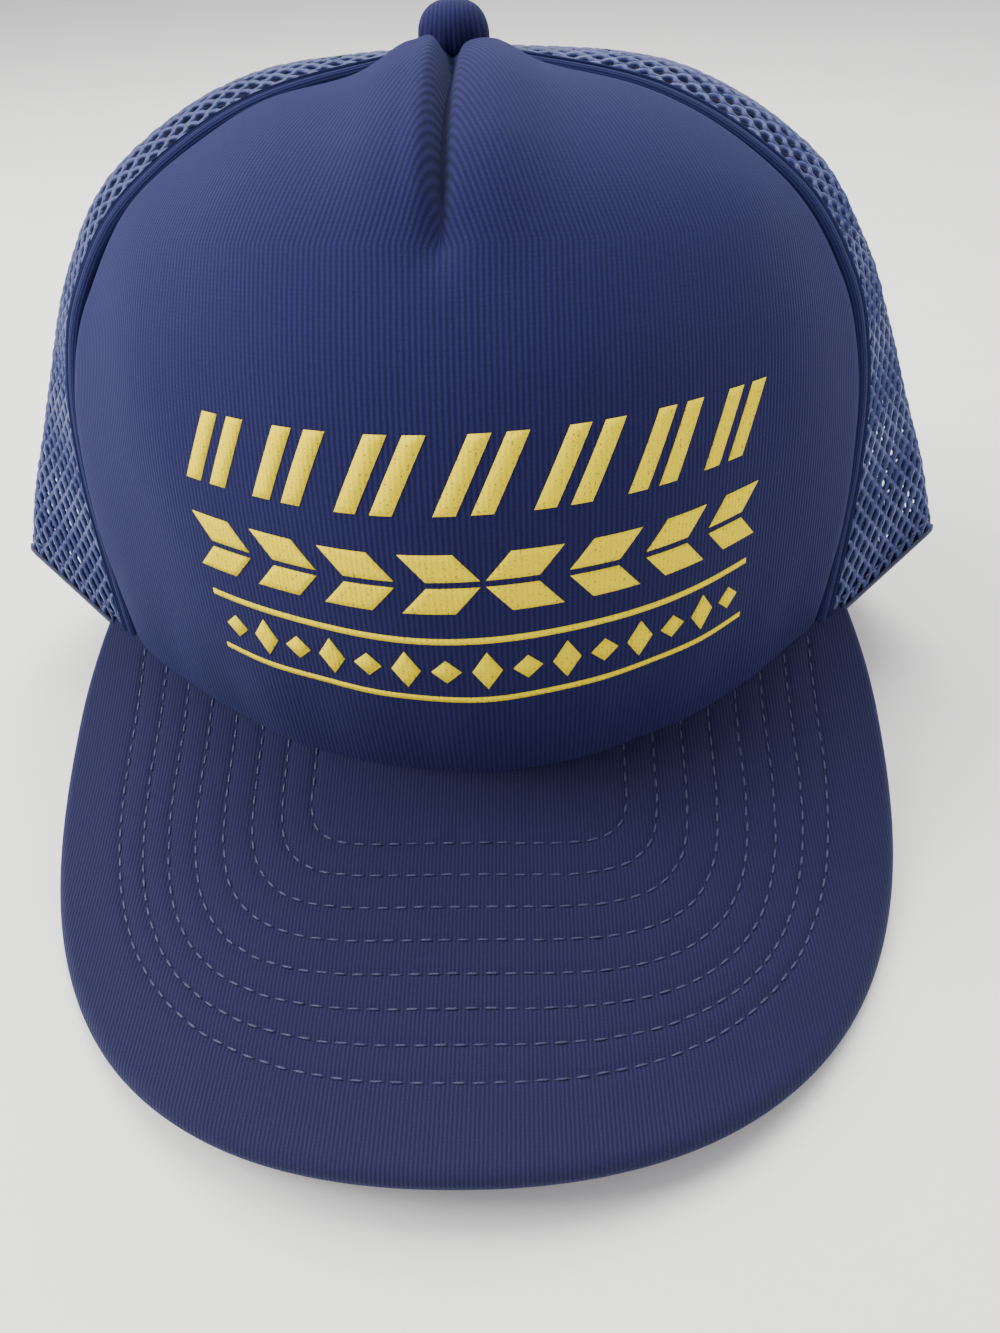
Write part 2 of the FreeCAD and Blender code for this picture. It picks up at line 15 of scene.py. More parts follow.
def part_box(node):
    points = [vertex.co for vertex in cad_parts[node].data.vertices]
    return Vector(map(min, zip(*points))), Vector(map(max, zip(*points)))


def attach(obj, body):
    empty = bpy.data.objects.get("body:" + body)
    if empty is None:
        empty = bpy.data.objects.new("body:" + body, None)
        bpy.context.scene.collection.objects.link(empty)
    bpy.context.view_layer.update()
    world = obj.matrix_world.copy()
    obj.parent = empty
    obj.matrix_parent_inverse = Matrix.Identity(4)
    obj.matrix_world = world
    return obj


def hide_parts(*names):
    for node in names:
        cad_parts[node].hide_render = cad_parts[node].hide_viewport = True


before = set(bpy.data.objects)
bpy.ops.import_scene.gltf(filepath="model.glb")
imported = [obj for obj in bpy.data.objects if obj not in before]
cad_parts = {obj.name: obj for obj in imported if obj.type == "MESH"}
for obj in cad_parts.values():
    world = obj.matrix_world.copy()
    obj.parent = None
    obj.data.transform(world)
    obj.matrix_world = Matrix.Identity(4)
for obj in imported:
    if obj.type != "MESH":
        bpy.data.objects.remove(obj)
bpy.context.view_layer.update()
MM = 0.001

# ---- crown pattern ----
HALF_WIDTH, DEPTH, HEIGHT, SETBACK = 111.0, 152.0, 139.0, -41.3
FRONT_LINE = [(0, 0, 0.147), (0, -0.023, 0.310), (0, -0.030, 0.475), (0, -0.013, 0.635),
              (0, 0.046, 0.778), (0, 0.165, 0.902), (0, 0.33, 0.963), (0, 0.535, 0.975)]
SEAM_LINE = [(0.707, 0.268, 0.186), (0.727, 0.303, 0.326), (0.739, 0.336, 0.460),
             (0.734, 0.375, 0.590), (0.694, 0.414, 0.707), (0.585, 0.460, 0.822),
             (0.355, 0.507, 0.925), (0.025, 0.545, 0.975)]
EAR_LINE = [(1.0, 0.447, 0.262), (0.964, 0.474, 0.370), (0.91, 0.50, 0.478), (0.848, 0.52, 0.594),
            (0.775, 0.533, 0.712), (0.650, 0.546, 0.840), (0.395, 0.575, 0.945), (0.036, 0.559, 0.975)]
BACK_LINE = [(0, 1.0, 0.0), (0, 1.027, 0.17), (0, 1.027, 0.345), (0, 1.0, 0.515),
             (0, 0.95, 0.68), (0, 0.86, 0.83), (0, 0.74, 0.935), (0, 0.585, 0.975)]
FRONT_SEAM, EAR, SIDE_SEAM, BACK = 1.0, 2.0, 2.55, 4.0
PANEL_TOP = 0.997
CLOTH_LENGTH = 165.0
WELT_HALF = 2.7
TAPE_HALF = 7.0
ARCH_HALF_WIDTH, ARCH_HEIGHT = 43.0, 50.0


def along(line, rise):
    """Points of a guide line at these rises, by a cubic through its points."""
    line = np.array(line, float)
    levels = len(line) - 1
    padded = np.vstack([2 * line[0] - line[1], line, 2 * line[-1] - line[-2]])
    place = np.clip(rise, 0, 1) * levels
    start = np.minimum(place.astype(int), levels - 1)
    part = (place - start)[..., None]
    before, here, following, after = (padded[start + k] for k in range(4))
    bend = 2 * before - 5 * here + 4 * following - after
    twist = 3 * (here - following) + after - before
    return here + 0.5 * part * (following - before + part * (bend + part * twist))


def section_point(turn, rise):
    """Points of the crown before its side corners are rounded."""
    side = np.where(turn < 0, -1.0, 1.0)
    turn = np.abs(turn)
    side = np.where(turn > BACK, -side, side)
    turn = np.where(turn > BACK, 2 * BACK - turn, turn)
    front, seam, ear, back = (along(line, rise) for line in (FRONT_LINE, SEAM_LINE, EAR_LINE, BACK_LINE))
    t = turn[..., None]
    forward = front + (seam - front) * np.concatenate([t, t ** 2, t ** 2], axis=-1)
    flank = seam + (ear - seam) * (t - FRONT_SEAM)
    angle = np.clip((turn - EAR) / (BACK - EAR), 0, 1) * math.pi / 2
    rear = np.stack([ear[..., 0] * np.cos(angle),
                     ear[..., 1] + (back[..., 1] - ear[..., 1]) * np.sin(angle),
                     back[..., 2] + (ear[..., 2] - back[..., 2]) * (1 - np.sin(angle)) ** 1.8], axis=-1)
    found = np.where(t <= FRONT_SEAM, forward, np.where(t <= EAR, flank, rear))
    return found * (HALF_WIDTH, DEPTH, HEIGHT) * np.stack([side, side * 0 + 1, side * 0 + 1], axis=-1) \
        + (0, SETBACK, 0)


def crown_point(turn, rise, soften=0.06):
    """Points of the crown, its side corners rounded over a window of turns."""
    turn, rise = np.broadcast_arrays(np.asarray(turn, float), np.asarray(rise, float))
    window = sum((soften + 0.2 * rise) * np.exp(-((turn - place) / 0.6) ** 2)
                 for place in (EAR, -EAR, 2 * BACK - EAR))
    steps = ((-2, 1), (-1, 2), (0, 3), (1, 2), (2, 1))
    total = sum(section_point(turn + step * window, rise) * weight for step, weight in steps)
    return total / sum(weight for _, weight in steps)


def outward(turn, rise, soften=0.06):
    """Unit normals of the crown, pointing away from the head."""
    step = 0.01
    turn, rise = np.broadcast_arrays(np.asarray(turn, float), np.asarray(rise, float))
    low, high = np.maximum(rise - step, 0), np.minimum(rise + step, 1)
    round_head = crown_point(turn + step, rise, soften) - crown_point(turn - step, rise, soften)
    upwards = crown_point(turn, high, soften) - crown_point(turn, low, soften)
    normal = np.cross(round_head, upwards)
    return normal / np.linalg.norm(normal, axis=-1, keepdims=True)


def on_crown(turn, rise, height, soften=0.06):
    """Points this far out from the crown surface."""
    height = np.asarray(height, float)
    return crown_point(turn, rise, soften) + outward(turn, rise, soften) * height[..., None]


def beside(turn, distance, rise, limit=0.35):
    """The turn this far round the head from another, never more than a limit."""
    step = 0.04 if distance > 0 else -0.04
    rise = np.asarray(rise, float)
    apart = crown_point(rise * 0 + turn + step, rise) - crown_point(rise * 0 + turn, rise)
    speed = np.linalg.norm(apart, axis=-1) / abs(step)
    return turn + np.clip(distance / speed, -limit, limit)


class Pattern:
    """Flat pattern of a panel: places sideways from its middle line and up the cloth, in mm."""

    def __init__(self, first, last, low=0.0, high=PANEL_TOP, rows=170, columns=161):
        self.rises = np.linspace(low, high, rows)
        start, end = first(self.rises), last(self.rises)
        self.turns = start[:, None] + (end - start)[:, None] * np.linspace(0, 1, columns)
        points = crown_point(self.turns, self.rises[:, None])
        steps = np.linalg.norm(np.diff(points, axis=1), axis=-1)
        self.sideways = np.concatenate([np.zeros((rows, 1)), np.cumsum(steps, axis=1)], axis=1)
        self.sideways -= self.sideways[:, columns // 2][:, None]
        middle = points[:, columns // 2]
        climbs = np.linalg.norm(np.diff(middle, axis=0), axis=-1)
        self.upward = np.concatenate([[0.0], np.cumsum(climbs)])
        self.even = np.linspace(self.sideways.min(), self.sideways.max(), 420)
        self.table = np.array([np.interp(self.even, sides, turns)
                               for sides, turns in zip(self.sideways, self.turns)])

    def edges(self, up):
        """Sideways places of both edges at this height up the cloth."""
        left, right = self.sideways[:, 0], self.sideways[:, -1]
        return np.interp(up, self.upward, left), np.interp(up, self.upward, right)

    def place(self, side, up):
        """Turns and rises of places on the flat pattern."""
        rise = np.interp(up, self.upward, self.rises)
        row = np.interp(up, self.upward, np.arange(len(self.rises)))
        column = np.interp(side, self.even, np.arange(len(self.even)))
        r0 = np.minimum(row.astype(int), len(self.rises) - 2)
        c0 = np.minimum(column.astype(int), len(self.even) - 2)
        fr, fc = row - r0, column - c0
        turn = (self.table[r0, c0] * (1 - fr) * (1 - fc) + self.table[r0, c0 + 1] * (1 - fr) * fc
                + self.table[r0 + 1, c0] * fr * (1 - fc) + self.table[r0 + 1, c0 + 1] * fr * fc)
        return turn, rise


# ---- making meshes ----

def finished(name, mesh, material, body, slot, *nodes):
    """Put a mesh in the scene as a piece on a body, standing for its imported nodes."""
    piece = bpy.data.objects.new(name, mesh)
    bpy.context.scene.collection.objects.link(piece)
    if material is not None:
        mesh.materials.clear()
        mesh.materials.append(material)
    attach(piece, body)
    if nodes:
        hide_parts(*nodes)
    return piece


def mesh_of(name, points, faces, uv=None, smooth=True):
    """Mesh from points in mm, with a UV map in metres if one is given per point."""
    mesh = bpy.data.meshes.new(name)
    mesh.from_pydata((np.asarray(points).reshape(-1, 3) * MM).tolist(), [], faces)
    if uv is not None:
        loops = np.zeros(len(mesh.loops), int)
        mesh.loops.foreach_get("vertex_index", loops)
        layer = mesh.uv_layers.new(name="cloth")
        layer.data.foreach_set("uv", (np.asarray(uv).reshape(-1, 2)[loops] * MM).ravel())
    if smooth:
        mesh.polygons.foreach_set("use_smooth", [True] * len(mesh.polygons))
    mesh.update()
    return mesh


def grid_faces(rows, columns, offset=0, flip=False, ring=False):
    """Quads of a grid of points, closed round its rows if it is a ring."""
    index = np.arange(rows * columns).reshape(rows, columns) + offset
    if ring:
        index = np.concatenate([index, index[:, :1]], axis=1)
    corners = [index[:-1, :-1], index[:-1, 1:], index[1:, 1:], index[1:, :-1]]
    quads = np.stack(corners, axis=-1).reshape(-1, 4)
    return (quads[:, ::-1] if flip else quads).tolist()


def closed_slab(name, outer, inner, uv):
    """Closed cloth between two grids of points; its border is joined all round."""
    rows, columns = outer.shape[:2]
    count = rows * columns
    index = np.arange(count).reshape(rows, columns)
    faces = grid_faces(rows, columns) + grid_faces(rows, columns, count, flip=True)
    border = np.concatenate([index[0, :-1], index[:-1, -1], index[-1, :0:-1], index[:0:-1, 0]])
    following = np.roll(border, -1)
    faces += np.stack([following, border, border + count, following + count], axis=-1).tolist()
    points = np.concatenate([outer.reshape(-1, 3), inner.reshape(-1, 3)])
    return mesh_of(name, points, faces, np.concatenate([uv.reshape(-1, 2)] * 2))


def lengths_over(points, axis):
    """Running length in mm along one axis of a grid of points."""
    steps = np.linalg.norm(np.diff(points, axis=axis), axis=-1)
    pad = [(0, 0), (0, 0)]
    pad[axis] = (1, 0)
    return np.cumsum(np.pad(steps, pad), axis=axis)


def cloth_uv(points):
    """UV of a grid of points: across and up the cloth, in mm."""
    return np.stack([lengths_over(points, 1), lengths_over(points, 0)], axis=-1)


def strip(name, centre_turn, half_width, rises, profile, thickness, columns=9, soften=0.06):
    """Tape along a seam. The profile gives its height off the crown across its width, -1 to 1."""
    across = np.linspace(-1, 1, columns)
    left = beside(centre_turn, -half_width, rises)
    right = beside(centre_turn, half_width, rises)
    turns = left[:, None] + (right - left)[:, None] * (across + 1) / 2
    heights = profile(across)[None, :] + turns * 0
    outer = on_crown(turns, rises[:, None], heights, soften)
    inner = on_crown(turns, rises[:, None], heights - thickness, soften)
    return closed_slab(name, outer, inner, cloth_uv(outer))


# ---- geometry node trees ----

def node_tree(name, sizes):
    """New geometry node tree with a geometry, a material and named sizes as its inputs."""
    tree = bpy.data.node_groups.new(name, "GeometryNodeTree")
    tree.interface.new_socket("Geometry", in_out="OUTPUT", socket_type="NodeSocketGeometry")
    tree.interface.new_socket("Geometry", in_out="INPUT", socket_type="NodeSocketGeometry")
    tree.interface.new_socket("Material", in_out="INPUT", socket_type="NodeSocketMaterial")
    for label, kind in sizes:
        tree.interface.new_socket(label, in_out="INPUT", socket_type=kind)
    return tree, tree.nodes.new("NodeGroupInput"), tree.nodes.new("NodeGroupOutput")


def join(tree, *pairs):
    """Link each pair of an output and an input."""
    for output, given in pairs:
        tree.links.new(output, given)


def finish_tree(tree, given, result, geometry):
    """End a tree in smooth shading, Realize Instances and Set Material."""
    real = tree.nodes.new("GeometryNodeRealizeInstances")
    smooth = tree.nodes.new("GeometryNodeSetShadeSmooth")
    paint = tree.nodes.new("GeometryNodeSetMaterial")
    join(tree, (geometry, real.inputs[0]), (real.outputs[0], smooth.inputs[0]),
         (smooth.outputs[0], paint.inputs["Geometry"]),
         (given.outputs["Material"], paint.inputs["Material"]), (paint.outputs[0], result.inputs[0]))


def cord_tree():
    """Round cords along the edges of the mesh that is put in."""
    tree, given, result = node_tree("cord_along_lines", [
        ("Radius", "NodeSocketFloat"), ("Sides", "NodeSocketInt")])
    line = tree.nodes.new("GeometryNodeMeshToCurve")
    circle = tree.nodes.new("GeometryNodeCurvePrimitiveCircle")
    sweep = tree.nodes.new("GeometryNodeCurveToMesh")
    sweep.inputs["Fill Caps"].default_value = True
    join(tree, (given.outputs["Geometry"], line.inputs[0]),
         (given.outputs["Radius"], circle.inputs["Radius"]),
         (given.outputs["Sides"], circle.inputs["Resolution"]), (line.outputs[0], sweep.inputs["Curve"]),
         (circle.outputs[0], sweep.inputs["Profile Curve"]))
    finish_tree(tree, given, result, sweep.outputs[0])
    return tree


def stitch_tree():
    """Plump stitches laid end to end along the edges of the mesh that is put in."""
    tree, given, result = node_tree("stitches_along_lines", [
        ("Spacing", "NodeSocketFloat"), ("Stitch", "NodeSocketVector"), ("Wander", "NodeSocketFloat")])
    line = tree.nodes.new("GeometryNodeMeshToCurve")
    even = tree.nodes.new("GeometryNodeResampleCurve")
    even.mode = "LENGTH"
    ball = tree.nodes.new("GeometryNodeMeshUVSphere")
    ball.inputs["Segments"].default_value = 6
    ball.inputs["Rings"].default_value = 5
    ball.inputs["Radius"].default_value = 0.5
    place = tree.nodes.new("GeometryNodeInstanceOnPoints")
    tangent = tree.nodes.new("GeometryNodeInputTangent")
    turn = tree.nodes.new("FunctionNodeAlignRotationToVector")
    turn.axis = "X"
    wander = tree.nodes.new("FunctionNodeRandomValue")
    wander.data_type = "FLOAT_VECTOR"
    wander.inputs["Seed"].default_value = 11
    spread = tree.nodes.new("ShaderNodeVectorMath")
    spread.operation = "SCALE"
    shift = tree.nodes.new("GeometryNodeSetPosition")
    wander.inputs[0].default_value = (-1, -1, -1)
    wander.inputs[1].default_value = (1, 1, 1)
    join(tree, (given.outputs["Geometry"], line.inputs[0]), (line.outputs[0], even.inputs["Curve"]),
         (given.outputs["Spacing"], even.inputs["Length"]), (even.outputs[0], shift.inputs["Geometry"]),
         (wander.outputs[0], spread.inputs[0]), (given.outputs["Wander"], spread.inputs["Scale"]),
         (spread.outputs[0], shift.inputs["Offset"]), (shift.outputs[0], place.inputs["Points"]),
         (ball.outputs[0], place.inputs["Instance"]), (tangent.outputs[0], turn.inputs["Vector"]),
         (turn.outputs[0], place.inputs["Rotation"]), (given.outputs["Stitch"], place.inputs["Scale"]))
    finish_tree(tree, given, result, place.outputs[0])
    return tree


def grown(name, paths, tree, material, body, slot, nodes=(), **values):
    """Piece grown by a node tree along paths, each a list of points in mm."""
    points, edges = [], []
    for path in paths:
        start = len(points)
        points.extend((np.asarray(path) * MM).tolist())
        edges.extend((start + k, start + k + 1) for k in range(len(path) - 1))
    mesh = bpy.data.meshes.new(name + "_lines")
    mesh.from_pydata(points, edges, [])
    lines = bpy.data.objects.new(name + "_lines", mesh)
    bpy.context.scene.collection.objects.link(lines)
    modifier = lines.modifiers.new(tree.name, "NODES")
    modifier.node_group = tree
    values["Material"] = material
    for item in tree.interface.items_tree:
        if item.in_out == "INPUT" and item.name in values:
            modifier[item.identifier] = values[item.name]
    evaluated = lines.evaluated_get(bpy.context.evaluated_depsgraph_get())
    final = bpy.data.meshes.new_from_object(evaluated)
    final.name = name
    lines.modifiers.remove(modifier)
    bpy.data.objects.remove(lines)
    return finished(name, final, material, body, slot, *nodes)


def stitched(name, paths, spacing, size, wander, thread=None, nodes=()):
    """Rows of stitches along paths: their spacing, size and wander are in mm."""
    return grown(name, paths, STITCHES, thread or THREAD, "root", "thread", nodes, Spacing=spacing * MM,
                 Stitch=tuple(length * MM for length in size), Wander=wander * MM)


# ---- materials ----

def new_material(name):
    """Empty node material and its shader."""
    material = bpy.data.materials.new(name)
    material.use_nodes = True
    tree = material.node_tree
    tree.nodes.clear()
    output = tree.nodes.new("ShaderNodeOutputMaterial")
    shader = tree.nodes.new("ShaderNodeBsdfPrincipled")
    tree.links.new(shader.outputs[0], output.inputs[0])
    return material, tree, shader


def feed(tree, socket, value):
    """Link a socket to another one, or set it to a number or a colour."""
    if hasattr(value, "links"):
        tree.links.new(value, socket)
    else:
        socket.default_value = (*value, 1) if isinstance(value, tuple) else value


def wave(tree, vector, pitch_mm, direction="X", distortion=0.0):
    """Even ripple of this pitch across one direction of a pattern."""
    node = tree.nodes.new("ShaderNodeTexWave")
    node.bands_direction = direction
    node.inputs["Scale"].default_value = math.pi / 10 / (pitch_mm * MM)
    node.inputs["Distortion"].default_value = distortion
    node.inputs["Detail Scale"].default_value = 1.0
    tree.links.new(vector, node.inputs["Vector"])
    return node.outputs["Fac"]


def noise(tree, vector, size_mm, detail=2.0, roughness=0.5):
    """Smooth random variation of about this size."""
    node = tree.nodes.new("ShaderNodeTexNoise")
    node.inputs["Scale"].default_value = 1 / (size_mm * MM)
    node.inputs["Detail"].default_value = detail
    node.inputs["Roughness"].default_value = roughness
    tree.links.new(vector, node.inputs["Vector"])
    return node.outputs["Fac"]


def maths(tree, operation, first, second):
    """One calculation on two values, each a socket or a number."""
    node = tree.nodes.new("ShaderNodeMath")
    node.operation = operation
    feed(tree, node.inputs[0], first)
    feed(tree, node.inputs[1], second)
    return node.outputs[0]


def weighed(tree, first, share, second, other_share):
    """Sum of two values, each times its share."""
    part = maths(tree, "MULTIPLY", first, share)
    return maths(tree, "ADD", part, maths(tree, "MULTIPLY", second, other_share))


def blend_colours(tree, amount, first, second):
    """Colour between two, each a socket or three numbers."""
    node = tree.nodes.new("ShaderNodeMix")
    node.data_type = "RGBA"
    feed(tree, node.inputs["Factor"], amount)
    feed(tree, node.inputs[6], first)
    feed(tree, node.inputs[7], second)
    return node.outputs[2]


def tones(tree, amount, colour, dark, light):
    """One colour, from a darker to a lighter shade of itself."""
    return blend_colours(tree, amount, shade(colour, dark), shade(colour, light))


def dress(tree, shader, colour, roughness, relief, **even):
    """Give a shader its colour, roughness, relief and what is the same all over its surface."""
    feed(tree, shader.inputs["Base Color"], colour)
    feed(tree, shader.inputs["Roughness"], roughness)
    for label, value in even.items():
        shader.inputs[label.replace("_", " ")].default_value = value
    height, depth_mm, strength = relief
    node = tree.nodes.new("ShaderNodeBump")
    node.inputs["Distance"].default_value = depth_mm * MM
    node.inputs["Strength"].default_value = strength
    tree.links.new(height, node.inputs["Height"])
    tree.links.new(node.outputs[0], shader.inputs["Normal"])


def pattern_source(tree, source, turned=0.0):
    """Where a pattern is read from: the cloth's own map or the piece's own coordinates."""
    if source == "cloth":
        node = tree.nodes.new("ShaderNodeUVMap")
        node.uv_map = "cloth"
        socket = node.outputs[0]
    else:
        socket = tree.nodes.new("ShaderNodeTexCoord").outputs["Object"]
    if turned:
        mapping = tree.nodes.new("ShaderNodeMapping")
        mapping.inputs["Rotation"].default_value = (0, 0, math.radians(turned))
        tree.links.new(socket, mapping.inputs["Vector"])
        socket = mapping.outputs[0]
    return socket


def shade(colour, factor):
    """Colour made lighter or darker."""
    return tuple(min(1.0, value * factor) for value in colour)


def knit_cloth(name, colour, rib=0.95, course=0.8, sheen=0.07):
    """Brushed warp knit: fine ribs up the cloth, crossed by its courses, with faint fading, fuzz and painted
    rib shade.
    """
    material, tree, shader = new_material(name)
    cloth = pattern_source(tree, "cloth")
    own = pattern_source(tree, "own")
    ribs = wave(tree, cloth, rib, "X", 0.6)
    courses = wave(tree, cloth, course, "Y", 2.5)
    loops = maths(tree, "MULTIPLY", ribs, maths(tree, "ADD", maths(tree, "MULTIPLY", courses, 0.22), 0.78))
    yarn = weighed(tree, loops, 0.75, noise(tree, own, 0.35, 3.0, 0.6), 0.45)
    faded = tones(tree, noise(tree, own, 45.0, 3.0, 0.55), colour, 0.86, 1.16)
    # painted shade in the rib grooves and painted light on the rib ridges, mixed with the yarn's random fuzz
    # tone
    rib_shade_and_fuzz = tones(tree, yarn, colour, 0.38, 1.7)
    dress(tree, shader, blend_colours(tree, 0.75, faded, rib_shade_and_fuzz), 0.92, (yarn, 0.13, 0.8),
          Specular_IOR_Level=0.12, Sheen_Weight=sheen, Sheen_Roughness=0.45, Sheen_Tint=(0.45, 0.55, 1.0, 1))
    return material


def printed_ink(name, colour, cloth_colour, rib=0.95):
    """Rubbery screen-print ink that has sunk into the ribs and lets pinholes of cloth show."""
    material, tree, shader = new_material(name)
    own = pattern_source(tree, "own")
    ribs = wave(tree, pattern_source(tree, "cloth"), rib, "X", 0.6)
    pin = noise(tree, own, 0.5, 2.0, 0.7)
    worn = maths(tree, "GREATER_THAN", maths(tree, "ADD", pin, maths(tree, "MULTIPLY", ribs, -0.10)), 0.60)
    uneven = tones(tree, noise(tree, own, 6.0, 3.0), colour, 0.88, 1.08)
    ink = blend_colours(tree, 0.5, uneven, tones(tree, ribs, colour, 0.88, 1.0))
    final = blend_colours(tree, maths(tree, "MULTIPLY", worn, 0.55), ink, cloth_colour)
    dress(tree, shader, final, 0.85, (maths(tree, "ADD", ribs, pin), 0.08, 0.8), Specular_IOR_Level=0.05)
    return material


def net_yarn(name, colour):
    """Slightly shiny nylon yarn, twisted from fine filaments, with painted glints in its colour."""
    material, tree, shader = new_material(name)
    own = pattern_source(tree, "own")
    filaments = noise(tree, own, 0.22, 2.0, 0.6)
    patches = tones(tree, noise(tree, own, 14.0, 2.0), colour, 0.8, 1.25)
    # random filament tone; its brightest specks are painted glints
    filament_tone_and_glints = tones(tree, filaments, colour, 0.35, 2.2)
    dress(tree, shader, blend_colours(tree, 0.5, patches, filament_tone_and_glints), 0.42, (filaments, 0.12, 0.8),
          Specular_IOR_Level=0.4, Sheen_Weight=0.12)
    return material


def twill(name, colour, pitch=0.7, angle=35.0):
    """Woven tape with its diagonal lines, and painted shade in the grooves between them."""
    material, tree, shader = new_material(name)
    cloth = pattern_source(tree, "cloth", angle)
    own = pattern_source(tree, "own")
    lines = wave(tree, cloth, pitch, "X", 0.8)
    weave = weighed(tree, lines, 0.7, wave(tree, cloth, pitch * 0.6, "Y", 0.8), 0.3)
    # painted shade in the weave's grooves and painted light on its crests
    weave_shade = tones(tree, weave, colour, 0.55, 1.25)
    aged = tones(tree, noise(tree, own, 18.0, 3.0), colour, 0.85, 1.1)
    dress(tree, shader, blend_colours(tree, 0.4, weave_shade, aged), 0.85, (weave, 0.12, 0.8), Sheen_Weight=0.15)
    return material


def foam_rubber(name, colour):
    """Open-cell foam sheet, with painted shade in its cells."""
    material, tree, shader = new_material(name)
    cells = tree.nodes.new("ShaderNodeTexVoronoi")
    cells.inputs["Scale"].default_value = 1 / (0.7 * MM)
    tree.links.new(pattern_source(tree, "own"), cells.inputs["Vector"])
    depth = cells.outputs["Distance"]
    # darker in the cell pits: painted shade
    dress(tree, shader, tones(tree, depth, colour, 0.6, 1.1), 0.95, (depth, 0.2, 0.8))
    return material


def moulded_plastic(name, colour, rough=0.38):
    """Soft moulded polyethylene, faintly uneven and lightly scuffed."""
    material, tree, shader = new_material(name)
    own = pattern_source(tree, "own")
    ripple = noise(tree, own, 3.0, 3.0, 0.5)
    scuffs = noise(tree, own, 0.6, 4.0, 0.7)
    roughness = maths(tree, "ADD", maths(tree, "MULTIPLY", scuffs, 0.25), rough - 0.1)
    dress(tree, shader, tones(tree, ripple, colour, 0.9, 1.12), roughness, (ripple, 0.15, 0.4),
          Subsurface_Weight=0.08, Subsurface_Radius=(0.001, 0.001, 0.002))
    return material


def plated_metal(name, colour):
    """Dull nickel-plated pressing with fine scratches."""
    material, tree, shader = new_material(name)
    scratches = noise(tree, pattern_source(tree, "own"), 0.8, 5.0, 0.7)
    roughness = maths(tree, "ADD", maths(tree, "MULTIPLY", scratches, 0.3), 0.2)
    worn = tones(tree, scratches, colour, 0.75, 1.05)
    dress(tree, shader, worn, roughness, (scratches, 0.03, 0.5), Metallic=1.0)
    return material


NAVY = (0.0112, 0.0112, 0.056)
VISOR_NAVY = (0.0128, 0.0128, 0.044)
KNIT = knit_cloth("front_knit", NAVY)
VISOR_KNIT = knit_cloth("visor_knit", VISOR_NAVY, rib=0.7, course=0.6, sheen=0.10)
WELT_KNIT = knit_cloth("welt_knit", (0.0095, 0.0115, 0.052), rib=0.6)
INK = printed_ink("yellow_ink", (0.92, 0.70, 0.0), NAVY)
NET = net_yarn("net_yarn", (0.015, 0.026, 0.125))
THREAD = net_yarn("navy_thread", (0.018, 0.023, 0.075))
PALE_THREAD = net_yarn("pale_thread", (0.55, 0.56, 0.60))
TAPE = twill("seam_tape_twill", (0.020, 0.027, 0.085))
BINDING = twill("binding_twill", (0.014, 0.020, 0.070), 0.6)
BAND = twill("sweatband_twill", (0.022, 0.030, 0.090), 0.8)
LABEL = twill("label_satin", (0.78, 0.77, 0.73), 0.3, 0.0)
FOAM = foam_rubber("foam_sheet", (0.60, 0.62, 0.66))
BOARD = moulded_plastic("visor_board_plastic", (0.62, 0.62, 0.60), 0.5)
STRAP = moulded_plastic("strap_plastic", (0.022, 0.034, 0.115))
METAL = plated_metal("button_metal", (0.62, 0.62, 0.60))
CORDS = cord_tree()
STITCHES = stitch_tree()


# ---- front panel ----

front = Pattern(lambda rise: beside(-FRONT_SEAM, 1.2, rise), lambda rise: beside(FRONT_SEAM, -1.2, rise))
DART_FOOT = 105.0


def ramp(value, low, high):
    """Smooth step from 0 at low to 1 at high."""
    part = np.clip((value - low) / (high - low), 0, 1)
    return part * part * (3 - 2 * part)


def front_relief(side, up):
    """How far the padded front stands out or sinks, in mm."""
    left, right = front.edges(up)
    open_dart = ramp(up, DART_FOOT - 3, DART_FOOT + 14)
    crease = -5.4 * np.exp(-(np.abs(side) / 1.35) ** 1.6) * open_dart
    crease += 1.0 * np.exp(-((side + 3.4) / 2.2) ** 2) * open_dart
    crease -= 1.3 * np.exp(-((up - DART_FOOT - 1) / 5) ** 2 - (side / 3.5) ** 2)
    cheeks = 3.0 * np.exp(-((np.abs(side) - 7) / 9.0) ** 2) * ramp(up, DART_FOOT - 8, DART_FOOT + 20)
    tuck = -0.9 * (np.exp(-((side - left) / 2.6) ** 2) + np.exp(-((side - right) / 2.6) ** 2))
    hem = -0.35 * np.exp(-(up / 4.0) ** 2)
    soft = 0.45 * np.sin(side / 17.0 + 0.8) * np.sin(up / 23.0 + 0.4) + 0.25 * np.sin(side / 7.3 + up / 19.0)
    folds = 0.22 * np.sin(side / 3.4 + 0.9 * np.sin(up / 9.0)) * np.exp(-((up - 16) / 13) ** 2)
    swell = 0.8 * ramp(up, 0, 30) * (1 - ramp(up, 60, 110))
    fade_top = 1 - 0.8 * ramp(up, 164, 172)
    return (crease + cheeks + soft + folds + swell) * fade_top + tuck + hem


def front_grid(rows, columns, low=0.0, high=PANEL_TOP, margin=1.2):
    """Turns, rises, sideways and upward places of an even grid on the front panel."""
    rises = np.linspace(low, high, rows)[:, None] + np.zeros((1, columns))
    start, end = beside(-FRONT_SEAM, margin, rises[:, 0]), beside(FRONT_SEAM, -margin, rises[:, 0])
    spread = np.linspace(-1, 1, columns)
    spread = 0.7 * spread + 0.3 * spread * np.abs(spread)
    turns = start[:, None] + (end - start)[:, None] * (spread + 1) / 2
    points = crown_point(turns, rises)
    side = lengths_over(points, 1)
    side -= side[:, columns // 2][:, None]
    up = np.interp(rises, front.rises, front.upward)
    return turns, rises, side, up


